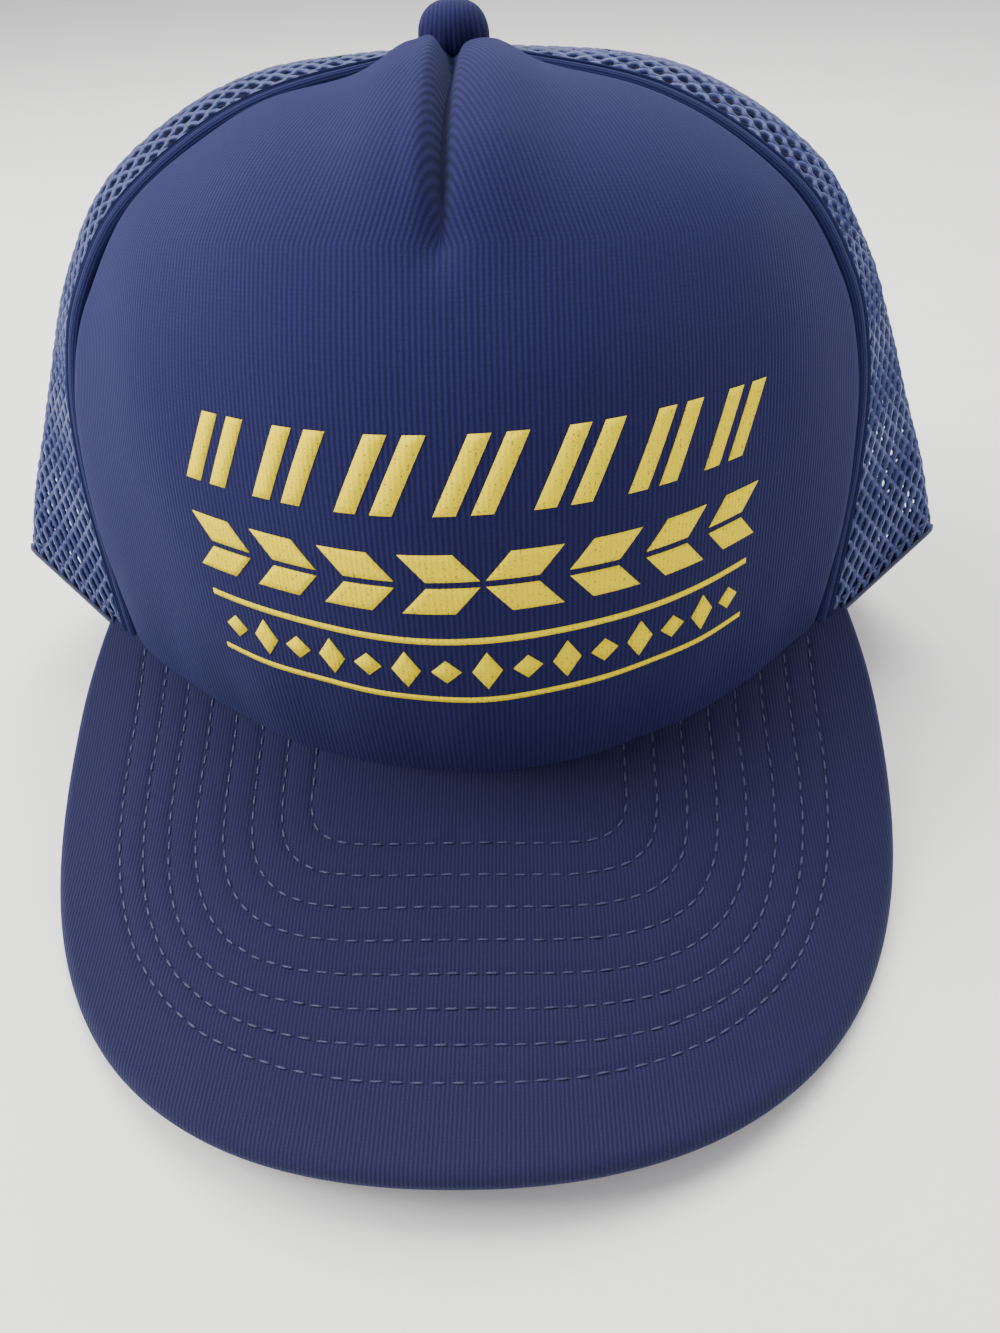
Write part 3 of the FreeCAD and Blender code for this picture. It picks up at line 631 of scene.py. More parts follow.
def make_front():
    """Face cloth with its dart, and the foam behind it."""
    turns, rises, side, up = front_grid(170, 201)
    relief = front_relief(side, up)
    outer = on_crown(turns, rises, relief)
    inner = on_crown(turns, rises, relief - 0.8)
    wedge = 0.34 * np.maximum(up - DART_FOOT, 0) * np.sign(side)
    uv = np.stack([side + wedge, up], axis=-1)
    cloth = finished("front_panel_cloth", closed_slab("front_panel_cloth", outer, inner, uv), KNIT,
                     "root", "knit", "front_panel")
    turns, rises, side, up = front_grid(110, 121, 0.03, 0.96, 3.6)
    relief = front_relief(side, up)
    outer = on_crown(turns, rises, relief - 1.0)
    inner = on_crown(turns, rises, 0.35 * relief - 4.1)
    foam = finished("front_foam_pad", closed_slab("front_foam_pad", outer, inner, cloth_uv(outer)), FOAM,
                    "root", "foam", "front_foam")
    rises = np.linspace(0.72, 0.93, 40)
    tape = strip("dart_seam_tape", 0.0, 6.0, rises, lambda across: -4.75 - 0.25 * across ** 2, 0.5)
    finished("dart_seam_tape", tape, TAPE, "root", "tape", "dart_tape")


def quad_patch(corners, step=1.4):
    """Grid of places over a four-cornered shape of the flat pattern."""
    a, b, c, d = (np.array(corner, float) for corner in corners)
    wide = max(2, int(max(np.linalg.norm(b - a), np.linalg.norm(c - d)) / step) + 1)
    tall = max(2, int(max(np.linalg.norm(d - a), np.linalg.norm(c - b)) / step) + 1)
    u = np.linspace(0, 1, wide)[None, :, None]
    v = np.linspace(0, 1, tall)[:, None, None]
    return a * (1 - u) * (1 - v) + b * u * (1 - v) + c * u * v + d * (1 - u) * v


def bar(x, half_width, low, high, lean=0.0):
    """Four corners of an upright bar on the flat pattern, leaning sideways."""
    return [(x - half_width - lean, low), (x + half_width - lean, low),
            (x + half_width + lean, high), (x - half_width + lean, high)]


def print_shapes():
    """Three rows of plain geometric shapes, as four-cornered outlines."""
    centre, half = 5.0, 56.0
    shapes = []
    for k in range(7):
        x = centre - half + 2 * half / 7 * (k + 0.5)
        for shift in (-2.6, 3.4):
            shapes.append(bar(x + shift, 1.8, 64.0, 76.5, 3.0))
    for k in range(8):
        x = centre - half + 2 * half / 8 * (k + 0.5)
        tip = 2.1 if k < 4 else -2.1
        shapes.append(bar(x, 4.4, 46.5, 51.4, tip))
        shapes.append(bar(x, 4.4, 52.6, 57.5, -tip))
    for low, high in ((26.6, 27.8), (40.2, 41.4)):
        shapes.append(bar(centre, half - 2, low, high))
    middle = 34.0
    for k in range(15):
        x = centre - half + 3 + 2 * (half - 3) / 15 * (k + 0.5)
        tall = 4.2 if k % 2 else 2.6
        shapes.append([(x, middle - tall), (x + 2.6, middle), (x, middle + tall), (x - 2.6, middle)])
    return shapes


def make_print():
    """Ink film on the front: every shape is a thin slab that follows the cloth."""
    points, faces, uvs = [], [], []
    for corners in print_shapes():
        grid = quad_patch(corners)
        side, up = grid[..., 0], grid[..., 1]
        turns, rises = front.place(side, up)
        relief = front_relief(side, up)
        top, bottom = on_crown(turns, rises, relief + 0.14), on_crown(turns, rises, relief - 0.12)
        part = closed_slab("shape", top, bottom, grid)
        start = len(points)
        coordinates = np.zeros(len(part.vertices) * 3)
        part.vertices.foreach_get("co", coordinates)
        points.extend((coordinates.reshape(-1, 3) / MM).tolist())
        faces.extend([[start + v for v in polygon.vertices] for polygon in part.polygons])
        uvs.extend(np.concatenate([grid.reshape(-1, 2)] * 2).tolist())
        bpy.data.meshes.remove(part)
    finished("front_print", mesh_of("front_print", points, faces, np.array(uvs)), INK, "root", None)


# ---- net panels ----

NET_PITCH = 4.2
NET_ROW = 2.5
NET_RADIUS = 0.62
NET_SWAY = 0.66
NET_DEPTH = -0.4
# places in half a repeat of a net cord, and how far it leans at each, as a share of its sway
NET_LEAN = [(0.0, 0.0), (0.075, 0.82), (0.25, 1.03), (0.425, 0.82)]


def net_lines(pattern, keep=None):
    """Cords of a hexagonal net on a panel: columns that lean on each side neighbour by turns."""
    repeats = np.arange(int(pattern.upward[-1] / NET_ROW) + 1)
    phases = np.array([phase for phase, _ in NET_LEAN])
    ups = ((repeats[:, None] + 2 * phases) * NET_ROW).ravel()
    lean = (np.where(repeats % 2, -1.0, 1.0)[:, None] * np.array([share for _, share in NET_LEAN])).ravel()
    inside_panel = (ups > 0.3) & (ups < pattern.upward[-1])
    ups, lean = ups[inside_panel], lean[inside_panel]
    left, right = pattern.edges(ups)
    sway = NET_SWAY * lean
    first = int(pattern.sideways.min() / (NET_PITCH / 2)) - 1
    last = int(pattern.sideways.max() / (NET_PITCH / 2)) + 1
    lines = []
    for column in range(first, last + 1):
        sign = 1 if column % 2 else -1
        sides = column * NET_PITCH / 2 + sign * sway
        inside = (sides > left) & (sides < right)
        turns, rises = pattern.place(np.clip(sides, left, right), ups)
        depth = NET_DEPTH + 0.14 * sign * np.cos(math.pi * ups / NET_ROW)
        points = on_crown(turns, rises, depth)
        if keep is not None:
            inside &= keep(points)
        run = []
        for good, point in zip(inside, points):
            if good:
                run.append(point)
                continue
            if len(run) > 1:
                lines.append(run)
            run = []
        if len(run) > 1:
            lines.append(run)
    return lines


def edge_line(turn, distance, height, low=0.0, high=PANEL_TOP, keep=None):
    """Line beside a seam, over the crown."""
    rises = np.linspace(low, high, 110)
    points = on_crown(beside(turn, distance, rises), rises, rises * 0 + height)
    if keep is not None:
        points = points[keep(points)]
    return points


def outside_arch(points):
    """Whether each point lies outside the opening above the strap."""
    under_binding = 2.6
    wide, tall = ARCH_HALF_WIDTH + under_binding, ARCH_HEIGHT + under_binding
    return (points[:, 0] / wide) ** 2 + (points[:, 2] / tall) ** 2 > 1


def make_nets():
    """Four net panels, each with a corded border where it is sewn."""
    for side, word in ((1, "right"), (-1, "left")):
        for name, first, last, keep in (
                ("side_mesh", (FRONT_SEAM, 0.8), (SIDE_SEAM, -0.35), None),
                ("rear_mesh", (SIDE_SEAM, 0.35), (BACK, -0.35), outside_arch)):
            pattern = Pattern(lambda rise: beside(first[0], first[1], rise),
                              lambda rise: beside(last[0], last[1], rise), low=0.001)
            lines = net_lines(pattern, keep)
            lines += [edge_line(*border, NET_DEPTH, 0.001, keep=keep) for border in (first, last)]
            if side < 0:
                lines = [np.asarray(line) * (-1, 1, 1) for line in lines]
            grown("%s_net_%s" % (name.split("_")[0], word), lines, CORDS, NET, "root", "net",
                  ["%s_%s" % (name, word)], Radius=NET_RADIUS * MM, Sides=5)


# ---- welts, tapes and bindings ----

def welt_profile(across):
    """Corded strip: two soft ridges with a groove between, rolled under at both edges."""
    dome = 1.25 * np.sqrt(np.clip(1 - np.abs(across) ** 3, 0, 1))
    ridges = 0.22 * np.cos(across * 2.5 * math.pi)
    return dome + ridges - 0.35


def tape_profile(base):
    """Flat tape whose edges curl slightly towards the head."""
    return lambda across: base - 0.15 * across ** 4


def sloping_tape(side):
    """Tape that steps down from the net on one side of the front seam to the foam on the other."""
    return lambda across: -1.15 - 3.35 * ramp(-side * across, -0.1, 0.6)


def make_welts_and_tapes():
    """Corded strips over the front seams and the twill tapes inside every seam."""
    rises = np.linspace(0.006, PANEL_TOP, 190)
    short = np.linspace(0.02, 0.93, 120)
    for side, word in ((1, "right"), (-1, "left")):
        mesh = strip("welt", side * FRONT_SEAM, WELT_HALF, rises, welt_profile, 1.5, 25)
        finished("front_welt_" + word, mesh, WELT_KNIT, "root", "welt", "welt_" + word)
        tape = strip("tape", side * FRONT_SEAM, TAPE_HALF, short, sloping_tape(side), 0.5, 13)
        finished("front_tape_" + word, tape, TAPE, "root", "tape", "front_seam_tape_" + word)
        place = SIDE_SEAM if side > 0 else 2 * BACK - SIDE_SEAM
        tape = strip("tape", place, TAPE_HALF, short, tape_profile(-1.1), 0.5, 13)
        finished("side_tape_" + word, tape, TAPE, "root", "tape", "side_seam_tape_" + word)
    tape = strip("tape", BACK, TAPE_HALF, np.linspace(0.42, 0.93, 80), tape_profile(-1.1), 0.5, 13)
    finished("back_tape", tape, TAPE, "root", "tape", "rear_seam_tape")


def fold_section(reach, outside, inside, steps=7):
    """Section of a tape folded round an edge: distance from the edge and height off the crown."""
    middle, radius = (outside + inside) / 2, (outside - inside) / 2
    places = [(reach, outside - 0.25), (reach * 0.8, outside), (reach * 0.45, outside)]
    for k in range(steps):
        angle = math.pi / 2 - math.pi * k / (steps - 1)
        places.append((radius * (1 - math.cos(angle)) * 0.6, middle + radius * math.sin(angle)))
    places += [(reach * 0.45, inside), (reach * 0.8, inside), (reach, inside + 0.25)]
    return np.array(places)


def folded_tape(name, section, thickness, locate):
    """Closed folded tape from its section; locate places (distance, height) along the edge."""
    steps = np.gradient(section, axis=0)
    normal = np.stack([-steps[:, 1], steps[:, 0]], axis=-1)
    normal /= np.linalg.norm(normal, axis=-1, keepdims=True)
    inner_section = section + normal * thickness
    outer, inner = locate(section), locate(inner_section)
    return closed_slab(name, outer, inner, cloth_uv(outer))


def lower_fold():
    """Section of the lower binding: a narrow lip outside the net and a wide leg inside it."""
    places = [(1.1, 0.0), (0.8, 0.12), (0.2, 0.08), (-0.2, -0.25), (-0.4, -0.8), (-0.3, -1.5), (0.1, -2.1),
              (1.2, -2.3), (3.0, -2.3), (5.2, -2.3), (6.8, -2.1)]
    return np.array(places)


def make_edge_bindings():
    """Tape folded round the net's lower edge, each side."""
    columns = 300
    for side, word in ((1, "right"), (-1, "left")):
        turns = np.linspace(1.02, 3.38, columns)
        if side < 0:
            turns = -turns[::-1]

        def locate(section):
            rise = (section[:, 0] / CLOTH_LENGTH)[:, None] + turns * 0
            height = section[:, 1][:, None] + turns * 0
            low = np.minimum(rise, 0) * CLOTH_LENGTH
            points = on_crown(turns[None, :] + rise * 0, np.maximum(rise, 0), height)
            points[..., 2] += low
            return points
        section = lower_fold()[::-1]
        mesh = folded_tape("binding", section, 0.5, locate)
        finished("lower_binding_" + word, mesh, BINDING, "root", "tape", "edge_binding_" + word)
        paths = []
        for up, height in ((4.9, 0.15), (4.9, -2.95)):
            rises = turns * 0 + up / CLOTH_LENGTH
            paths.append(on_crown(turns, rises, turns * 0 + height))
        stitched("lower_binding_stitches_" + word, paths, 2.9, (2.2, 0.42, 0.42), 0.05)


def place_on_back(across, up):
    """Turn and rise of points at the back of the crown, from their place across and up."""
    turn = BACK - np.asarray(across) / 75.0
    rise = np.asarray(up) / CLOTH_LENGTH
    step = 0.002
    for _ in range(14):
        here = crown_point(turn, rise)
        by_turn = (crown_point(turn + step, rise) - here) / step
        by_rise = (crown_point(turn, rise + step) - here) / step
        miss_x, miss_z = across - here[..., 0], up - here[..., 2]
        det = by_turn[..., 0] * by_rise[..., 2] - by_rise[..., 0] * by_turn[..., 2]
        turn = turn + 0.8 * (miss_x * by_rise[..., 2] - miss_z * by_rise[..., 0]) / det
        rise = rise + 0.8 * (by_turn[..., 0] * miss_z - by_turn[..., 2] * miss_x) / det
        rise = np.clip(rise, 0, 0.6)
    return turn, rise


def arch_place(angle, widen):
    """Turn and rise of the opening's outline, made wider by a distance."""
    across = -(ARCH_HALF_WIDTH + widen) * np.cos(angle)
    up = (ARCH_HEIGHT + widen) * np.sin(angle)
    return place_on_back(across, np.maximum(up, 0.2))


def make_arch_binding():
    """Tape folded round the opening above the strap, with its stitching."""
    angles = np.linspace(0.035, math.pi - 0.035, 130)
    clearance = 1.8 * (np.exp(-(angles / 0.7) ** 2) + np.exp(-((math.pi - angles) / 0.7) ** 2))

    def locate(section):
        widen = section[:, 0][:, None] + clearance
        turn, rise = arch_place(angles[None, :] + widen * 0, widen)
        return on_crown(turn, rise, section[:, 1][:, None] + angles * 0)
    mesh = folded_tape("arch", fold_section(5.0, 0.8, -1.1)[::-1], 0.5, locate)
    finished("opening_binding", mesh, BINDING, "root", "tape", "arch_binding")
    turn, rise = arch_place(angles, clearance + 3.9)
    path = on_crown(turn, rise, angles * 0 + 0.85)
    stitched("opening_binding_stitches", [path], 2.8, (2.1, 0.42, 0.42), 0.05)


def make_seam_stitches():
    """Topstitching each side of the net seams."""
    paths = []
    for turn in (SIDE_SEAM, 2 * BACK - SIDE_SEAM, BACK):
        low = 0.40 if turn == BACK else 0.045
        for distance in (-3.2, 3.2):
            paths.append(edge_line(turn, distance, 0.05, low, 0.94))
    stitched("net_seam_stitches", paths, 3.2, (2.5, 0.45, 0.45), 0.08)


# ---- sweatband and label ----

BAND_HEIGHT = 30.0


def make_sweatband():
    """Twill band sewn inside the lower edge, slightly wavy at its free edge, and a blank label."""
    columns, rows = 420, 16
    turns = np.linspace(-3.42, 3.42, columns)[None, :] + np.zeros((rows, 1))
    rises = np.linspace(0.010, BAND_HEIGHT / CLOTH_LENGTH, rows)[:, None] + np.zeros((1, columns))
    free = ramp(rises * CLOTH_LENGTH, 4, BAND_HEIGHT)
    wave_out = 0.35 * free * np.sin(turns * 9.0) + 0.2 * free * np.sin(turns * 23.0 + 1.0)
    roll = -0.35 * (1 - np.exp(-((rises * CLOTH_LENGTH - 1.6) / 3.0) ** 2))
    outer = on_crown(turns, rises, -5.15 + wave_out - roll * 0.3, 0.3)
    inner = on_crown(turns, rises, -6.15 + wave_out, 0.3)
    band = finished("sweatband_cloth", closed_slab("sweatband_cloth", outer, inner, cloth_uv(outer)), BAND,
                    "root", "sweatband", "sweatband")
    long_way = float(lengths_over(inner[rows // 2:rows // 2 + 1], 1)[0, -1]) * MM
    paths = []
    for up in (3.2, 27.6):
        line = turns[0] * 0 + up / CLOTH_LENGTH
        height = -6.22 + np.interp(up, [4, BAND_HEIGHT], [0, 1]) * 0.35 * np.sin(turns[0] * 9.0)
        paths.append(on_crown(turns[0], line, height, 0.3))
    stitched("sweatband_stitches", paths, 3.1, (2.4, 0.45, 0.45), 0.06)
    half_label, label_height = 12.0, 12.0
    low = 0.05
    high = low + label_height / CLOTH_LENGTH
    rises = np.linspace(low, high, 12)[:, None] + np.zeros((1, 24))
    turns = beside(0.0, half_label, rises[:, 0])[:, None] * np.linspace(-1, 1, 24)
    pillow = 0.12 * np.sin(np.linspace(0, math.pi, 24))[None, :]
    outer = on_crown(turns, rises, -6.45 + pillow * 0)
    inner = on_crown(turns, rises, -6.85 - pillow)
    finished("size_label", closed_slab("size_label", outer, inner, cloth_uv(outer)), LABEL, "root", "label",
             "inner_label")
    inset = 0.9
    edge, foot, head = half_label - inset, low * CLOTH_LENGTH + inset, high * CLOTH_LENGTH - inset
    corners = [(-edge, foot), (edge, foot), (edge, head), (-edge, head)]
    path = []
    for start, end in zip(corners, corners[1:] + corners[:1]):
        for part in np.linspace(0, 1, 12)[:-1]:
            side = start[0] + (end[0] - start[0]) * part
            up = start[1] + (end[1] - start[1]) * part
            rise = np.array([up / CLOTH_LENGTH])
            path.append(on_crown(beside(0.0, side, rise), rise, np.array([-6.95]))[0])
    stitched("label_stitches", [path], 1.9, (1.5, 0.35, 0.35), 0.0, PALE_THREAD)


# ---- visor ----

VISOR_LIFT, VISOR_SLOPE, VISOR_ARCH, VISOR_SCOOP = 22.0, 18.3, 17.1, 11.7
VISOR_HALF, VISOR_LENGTH, VISOR_WIDEST = 88.8, 74.2, 24.1
CORNER_HALF, CORNER_BACK = 85.6, 48.4
CLOTH_TOP, CLOTH_UNDER = 2.6, -1.85
ROW_COUNT = 8
FIRST_ROW_HALF, FIRST_ROW_LENGTH = 31.0, 15.1
LAST_ROW_HALF, LAST_ROW_LENGTH = 73.5, 59.0


def visor_height(across, back):
    """Middle of the visor's thickness."""
    slope = math.tan(math.radians(VISOR_SLOPE)) * back
    return VISOR_LIFT + slope - VISOR_ARCH * (across / 90.0) ** 2 + VISOR_SCOOP * (back / 70.0) ** 2


def visor_ripple(plan):
    """Faint unevenness of the visor's cloth, in mm."""
    return 0.12 * np.sin(plan[..., 0] / 9.0 + 1.0) * np.sin(plan[..., 1] / 11.0)


def visor_seam(part, inset):
    """Plan points of the visor's rear edge."""
    across = (CORNER_HALF - 2.4) * part
    return np.stack([across, CORNER_BACK * (across / CORNER_HALF) ** 2 - inset], axis=-1)


def visor_rim(part, inset):
    """Plan points of the visor's outline."""
    straight = 0.14
    part, inset = np.broadcast_arrays(part, np.asarray(inset, float))
    size = np.abs(part)
    side = np.where(part >= 0, 1.0, -1.0)
    half, length = VISOR_HALF - inset, VISOR_LENGTH - inset
    run = (size - (1 - straight)) / straight
    corner = CORNER_HALF - inset
    angle = np.clip(math.pi / 2 * (1 - size / (1 - straight)), 0, math.pi / 2)
    power = 2 / 2.17
    across = np.where(run > 0, half - (half - corner) * run ** 2, half * np.cos(angle) ** power)
    back = np.where(run > 0, VISOR_WIDEST + (CORNER_BACK - 3.0 - VISOR_WIDEST) * run,
                    VISOR_WIDEST - (length + VISOR_WIDEST) * np.sin(angle) ** power)
    return np.stack([side * across, back], axis=-1)


def stitch_row(number, steps=240):
    """Plan points of one row of topstitching, the innermost first."""
    part = number / (ROW_COUNT - 1)
    half = FIRST_ROW_HALF + (LAST_ROW_HALF - FIRST_ROW_HALF) * part
    length = FIRST_ROW_LENGTH + (LAST_ROW_LENGTH - FIRST_ROW_LENGTH) * part
    widest = 4.0 + 16.0 * part
    power = 2 / (5.0 - 2.6 * part ** 0.7)
    angle = np.linspace(0, math.pi, steps)
    across = half * np.sign(np.cos(angle)) * np.abs(np.cos(angle)) ** power
    back = widest - (length + widest) * np.sin(angle) ** power
    rows = np.stack([across, back], axis=-1)
    tail = max(0.0, 20.0 + 8.0 * part)
    ends = np.stack([np.linspace(0, 1, 12)[1:] * 0, np.linspace(0, 1, 12)[1:] * tail], axis=-1)
    first = rows[0] + ends[::-1] * (1, 1) + np.stack([ends[::-1, 1] * 0.04, ends[::-1, 0]], axis=-1)
    last = rows[-1] + ends + np.stack([-ends[:, 1] * 0.04, ends[:, 0]], axis=-1)
    line = np.concatenate([first, rows, last])
    limit = CORNER_BACK * (line[:, 0] / CORNER_HALF) ** 2 + 0.5
    line = line[line[:, 1] < limit]
    run = np.concatenate([[0.0], np.cumsum(np.linalg.norm(np.diff(line, axis=0), axis=1))])
    even = np.linspace(0, run[-1], int(run[-1] / 0.6))
    return np.stack([np.interp(even, run, line[:, 0]), np.interp(even, run, line[:, 1])], axis=-1)


ROWS = [stitch_row(number) for number in range(ROW_COUNT)]


def row_distance(plan):
    """Distance from plan points to the nearest row of topstitching, in mm."""
    flat = plan.reshape(-1, 2)
    nearest = np.full(len(flat), 1e9)
    for row in ROWS:
        for start in range(0, len(flat), 8000):
            chunk = flat[start:start + 8000]
            gap = np.sqrt(((chunk[:, None] - row[None]) ** 2).sum(-1)).min(1)
            nearest[start:start + 8000] = np.minimum(nearest[start:start + 8000], gap)
    return nearest.reshape(plan.shape[:-1])


def visor_skin(name, sign, last_angle, slot, node):
    """One face of the visor, rolled round its rim, with channels where the stitches pull it in."""
    parts = np.linspace(-1, 1, 341)
    middle, radius = (CLOTH_TOP + CLOTH_UNDER) / 2, (CLOTH_TOP - CLOTH_UNDER) / 2
    flat_rows = 96
    plans, lifts = [], []
    inner = visor_seam(parts, -1.7)
    outer = visor_rim(parts, radius)
    for k in range(flat_rows):
        share = k / flat_rows
        plans.append(inner + (outer - inner) * share)
        lifts.append(parts * 0 + sign * radius - sign * 0.8 * math.exp(-share * 110))
    for angle in np.linspace(math.pi / 2, last_angle, 9):
        plans.append(visor_rim(parts, radius * (1 - math.cos(angle))))
        lifts.append(parts * 0 + sign * radius * math.sin(angle))
    plan, lift = np.array(plans), np.array(lifts)
    gap = row_distance(plan)
    channel = -0.42 * np.exp(-(gap / 0.75) ** 2) + 0.10 * np.clip(gap / 3.0, 0, 1)
    lift = lift + sign * channel * (np.abs(lift) > 0.9 * radius)
    level = visor_height(plan[..., 0], plan[..., 1]) + middle + lift + visor_ripple(plan)
    points = np.concatenate([plan + (0, SETBACK), level[..., None]], axis=-1)
    rows, columns = plan.shape[:2]
    mesh = mesh_of(name, points, grid_faces(rows, columns, flip=sign > 0), plan)
    piece = finished(name, mesh, VISOR_KNIT, "root", slot, node)
    thick = piece.modifiers.new("thickness", "SOLIDIFY")
    thick.thickness = 0.7 * MM
    thick.offset = -1
    solid = bpy.data.meshes.new_from_object(piece.evaluated_get(bpy.context.evaluated_depsgraph_get()))
    piece.modifiers.remove(thick)
    piece.data = solid
    return piece


def make_visor():
    """Cloth over and under the visor and its eight rows of topstitching."""
    top = visor_skin("visor_top_skin", 1, -1.05, "knit", "visor_top_cloth")
    visor_skin("visor_under_skin", -1, 0.65, "under_cloth", "visor_under_cloth")
    for name, height in (("visor_stitches", CLOTH_TOP - 0.18), ("visor_under_stitches", CLOTH_UNDER + 0.18)):
        paths = []
        for row in ROWS:
            lift = visor_height(row[:, 0], row[:, 1]) + height + visor_ripple(row)
            paths.append(np.concatenate([row + (0, SETBACK), lift[:, None]], axis=-1))
        nodes = ["visor_stitching"] if name == "visor_stitches" else []
        stitched(name, paths, 3.3, (2.5, 0.5, 0.42), 0.07, nodes=nodes)


# ---- button ----

def make_button():
    """Cloth-covered button: a squashed ball with gathers tucked under it."""
    low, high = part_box("top_button_cover")
    centre_x, centre_y = (low.x + high.x) / 2 / MM, (low.y + high.y) / 2 / MM
    base, height = low.z / MM - 1.6, (high.z - low.z) / MM + 1.0
    radius = (high.x - low.x) / 2 / MM
    rings, segments = 30, 72
    tuck = 0.62
    points, uv = [], []
    for layer, skin in ((0, 0.0), (1, 0.7)):
        for k in range(rings):
            angle = -tuck + (math.pi / 2 + tuck) * k / rings
            for step in range(segments):
                spin = 2 * math.pi * step / segments
                gather = 0.35 * math.sin(13 * spin + 0.6 * math.sin(3 * spin)) * max(0.0, 0.35 - angle) \
                    if layer == 0 else 0.0
                reach = (radius - skin) * math.cos(angle) ** 0.75 + gather
                lift = (height - skin) * (math.sin(angle) + math.sin(tuck)) / (1 + math.sin(tuck))
                x, y = reach * math.cos(spin), reach * math.sin(spin)
                points.append((centre_x + x, centre_y + y, base + lift))
                uv.append((x * (1 + 0.2 * math.sin(angle)), y))
        points.append((centre_x, centre_y, base + height - skin))
        uv.append((0, 0))
    count = rings * segments
    inner = count + 1
    faces = grid_faces(rings, segments, 0, ring=True)
    faces += grid_faces(rings, segments, inner, flip=True, ring=True)
    top = (rings - 1) * segments
    for step in range(segments):
        following = (step + 1) % segments
        faces.append([top + step, top + following, count])
        faces.append([inner + top + following, inner + top + step, inner + count])
        faces.append([following, step, inner + step, inner + following])
    mesh = mesh_of("button_cover", points, faces, np.array(uv))
    piece = finished("button_cover", mesh, KNIT, "root", "button_cloth", "top_button_cover")
    return piece


# ---- snap straps ----

def rounded_copy(node, name, material, body, slot, width_mm=0.35):
    """Copy of a packed moulding with its edges rounded, as it leaves the mould."""
    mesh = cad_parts[node].data.copy()
    piece = finished(name, mesh, material, body, slot, node)
    weld = piece.modifiers.new("weld", "WELD")
    weld.merge_threshold = 0.00001
    flat = piece.modifiers.new("flat", "DECIMATE")
    flat.decimate_type = "DISSOLVE"
    flat.angle_limit = math.radians(4)
    bevel = piece.modifiers.new("bevel", "BEVEL")
    bevel.width = width_mm * MM
    bevel.segments = 3
    bevel.limit_method = "ANGLE"
    bevel.angle_limit = math.radians(40)
    bevel.harden_normals = False
    solid = bpy.data.meshes.new_from_object(piece.evaluated_get(bpy.context.evaluated_depsgraph_get()))
    piece.modifiers.clear()
    piece.data = solid
    solid.materials.clear()
    solid.materials.append(material)
    return piece


def make_straps():
    """Two moulded straps, and their ends sewn inside the net."""
    rounded_copy("peg_strap", "peg_strap_moulding", STRAP, "peg_strap_half", "strap_plastic")
    rounded_copy("hole_strap", "hole_strap_moulding", STRAP, "hole_strap_half", "strap_plastic")
    for word in ("peg", "hole"):
        rounded_copy(word + "_strap_anchor", word + "_strap_end", STRAP, "root", "strap_plastic", 0.25)


def make_strap_bends():
    """Short bend of plastic that joins each strap's flex line to its sewn end."""
    low, high = 2.3, 18.6
    half_thick = 0.62
    sewn_end = (43.4, 104.75)
    for word, side, start, flex_back in (("peg", -1, 41.0, 102.4), ("hole", 1, 41.9, 104.2)):
        share = np.linspace(0, 1, 10)
        ease = ramp(share, 0, 1)
        from_middle = start + (sewn_end[0] - start) * share
        back = flex_back + (sewn_end[1] - flex_back) * ease
        line = np.stack([side * from_middle, back], axis=-1)
        along_line = np.gradient(line, axis=0)
        along_line /= np.linalg.norm(along_line, axis=-1, keepdims=True)
        across = np.stack([-along_line[:, 1], along_line[:, 0]], axis=-1) * side
        cap = []
        for angle in np.linspace(-math.pi / 2, math.pi / 2, 9)[1:-1]:
            round_end = along_line[0] * math.cos(angle) + across[0] * math.sin(angle)
            cap.append(line[0] - round_end * half_thick)
        upper, lower = line + across * half_thick, line - across * half_thick
        outline = np.concatenate([upper, lower[::-1], np.array(cap)[::-1]])
        if side < 0:
            outline = outline[::-1]
        count = len(outline)
        points = [(x, y, z) for z in (low, high) for x, y in outline]
        faces = [[k, k + count, (k + 1) % count + count, (k + 1) % count] for k in range(count)]
        faces += [list(range(count)), list(range(2 * count - 1, count - 1, -1))]
        mesh = mesh_of(word + "_strap_bend", points, faces, smooth=False)
        finished(word + "_strap_bend", mesh, STRAP, "root", "strap_plastic")
        work = bmesh.new()
        work.from_mesh(mesh)
        bmesh.ops.recalc_face_normals(work, faces=work.faces)
        work.to_mesh(mesh)
        work.free()


def paint_hidden_parts():
    """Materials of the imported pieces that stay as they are."""
    for node, material in (("visor_board", BOARD), ("visor_foam", FOAM), ("top_button_shell", METAL),
                           ("top_button_rivet", METAL)):
        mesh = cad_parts[node].data
        mesh.materials.clear()
        mesh.materials.append(material)


# ---- studio ----

def make_floor():
    """Plain pale table, faintly mottled."""
    material, tree, shader = new_material("pale_table")
    own = pattern_source(tree, "own")
    tone = blend_colours(tree, noise(tree, own, 30.0, 4.0), (0.90, 0.89, 0.865), (0.94, 0.93, 0.91))
    tree.links.new(tone, shader.inputs["Base Color"])
    shader.inputs["Roughness"].default_value = 0.75
    size = 3.0
    mesh = bpy.data.meshes.new("table")
    corners = [(-size, -size, 0), (size, -size, 0), (size, size, 0), (-size, size, 0)]
    mesh.from_pydata(corners, [], [[0, 1, 2, 3]])
    mesh.materials.append(material)
    floor = bpy.data.objects.new("table", mesh)
    bpy.context.scene.collection.objects.link(floor)


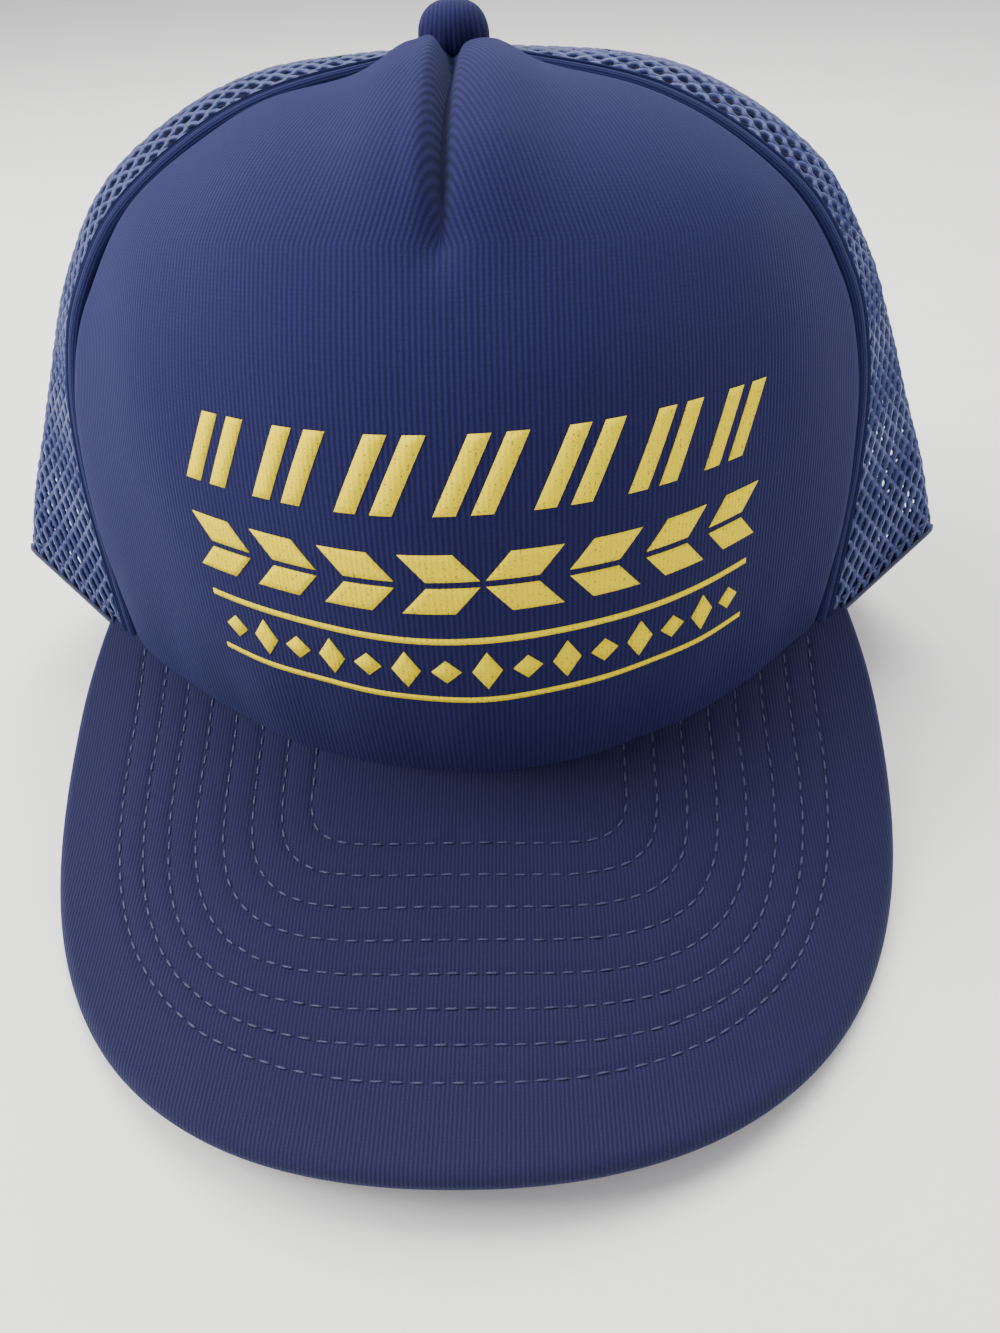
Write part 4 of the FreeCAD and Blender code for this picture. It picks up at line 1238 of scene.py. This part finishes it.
def soft_light(name, place, target, size, power, colour):
    """Square studio light that faces a point."""
    data = bpy.data.lights.new(name, "AREA")
    data.size = size
    data.energy = power
    data.color = colour
    lamp = bpy.data.objects.new(name, data)
    lamp.location = place
    aim = Vector(target) - Vector(place)
    lamp.rotation_euler = aim.to_track_quat("-Z", "Y").to_euler()
    bpy.context.scene.collection.objects.link(lamp)


def make_lights():
    """Large soft light from the upper left, a weaker one from the right, and pale surroundings."""
    soft_light("window", (-0.80, -0.05, 0.80), (0, 0, 0.05), 0.6, 16.0, (1.0, 0.99, 0.97))
    soft_light("ceiling", (0.05, 0.40, 1.1), (0, 0, 0.05), 0.8, 17.0, (1.0, 0.98, 0.95))
    soft_light("fill", (0.5, -0.9, 0.7), (0, 0, 0.05), 0.8, 0.8, (1.0, 0.98, 0.96))
    world = bpy.data.worlds.new("pale_room")
    world.use_nodes = True
    world.node_tree.nodes["Background"].inputs["Color"].default_value = (0.95, 0.96, 1.0, 1)
    world.node_tree.nodes["Background"].inputs["Strength"].default_value = 0.85
    bpy.context.scene.world = world


def make_camera():
    """Close wide view from above the visor, as someone looks down at a cap on a table."""
    pitch, yaw, roll = 0.6881, -0.0371, -0.0412
    forward = np.array([math.sin(yaw) * math.cos(pitch), math.cos(yaw) * math.cos(pitch), -math.sin(pitch)])
    right = np.array([math.cos(yaw), -math.sin(yaw), 0.0])
    above = np.cross(right, forward)
    rolled_right = math.cos(roll) * right + math.sin(roll) * above
    rolled_above = -math.sin(roll) * right + math.cos(roll) * above
    data = bpy.data.cameras.new("camera")
    data.sensor_width = 36.0
    data.lens = 26.85
    data.clip_start = 0.01
    camera = bpy.data.objects.new("camera", data)
    turned = Matrix([rolled_right, rolled_above, -forward]).transposed()
    camera.rotation_euler = turned.to_euler()
    camera.location = (0.01224, -0.18027, 0.16482)
    bpy.context.scene.collection.objects.link(camera)
    bpy.context.scene.camera = camera


make_camera()
make_front()
make_print()
make_nets()
make_welts_and_tapes()
make_edge_bindings()
make_arch_binding()
make_seam_stitches()
make_sweatband()
make_visor()
make_button()
make_straps()
make_strap_bends()
paint_hidden_parts()
make_floor()
make_lights()
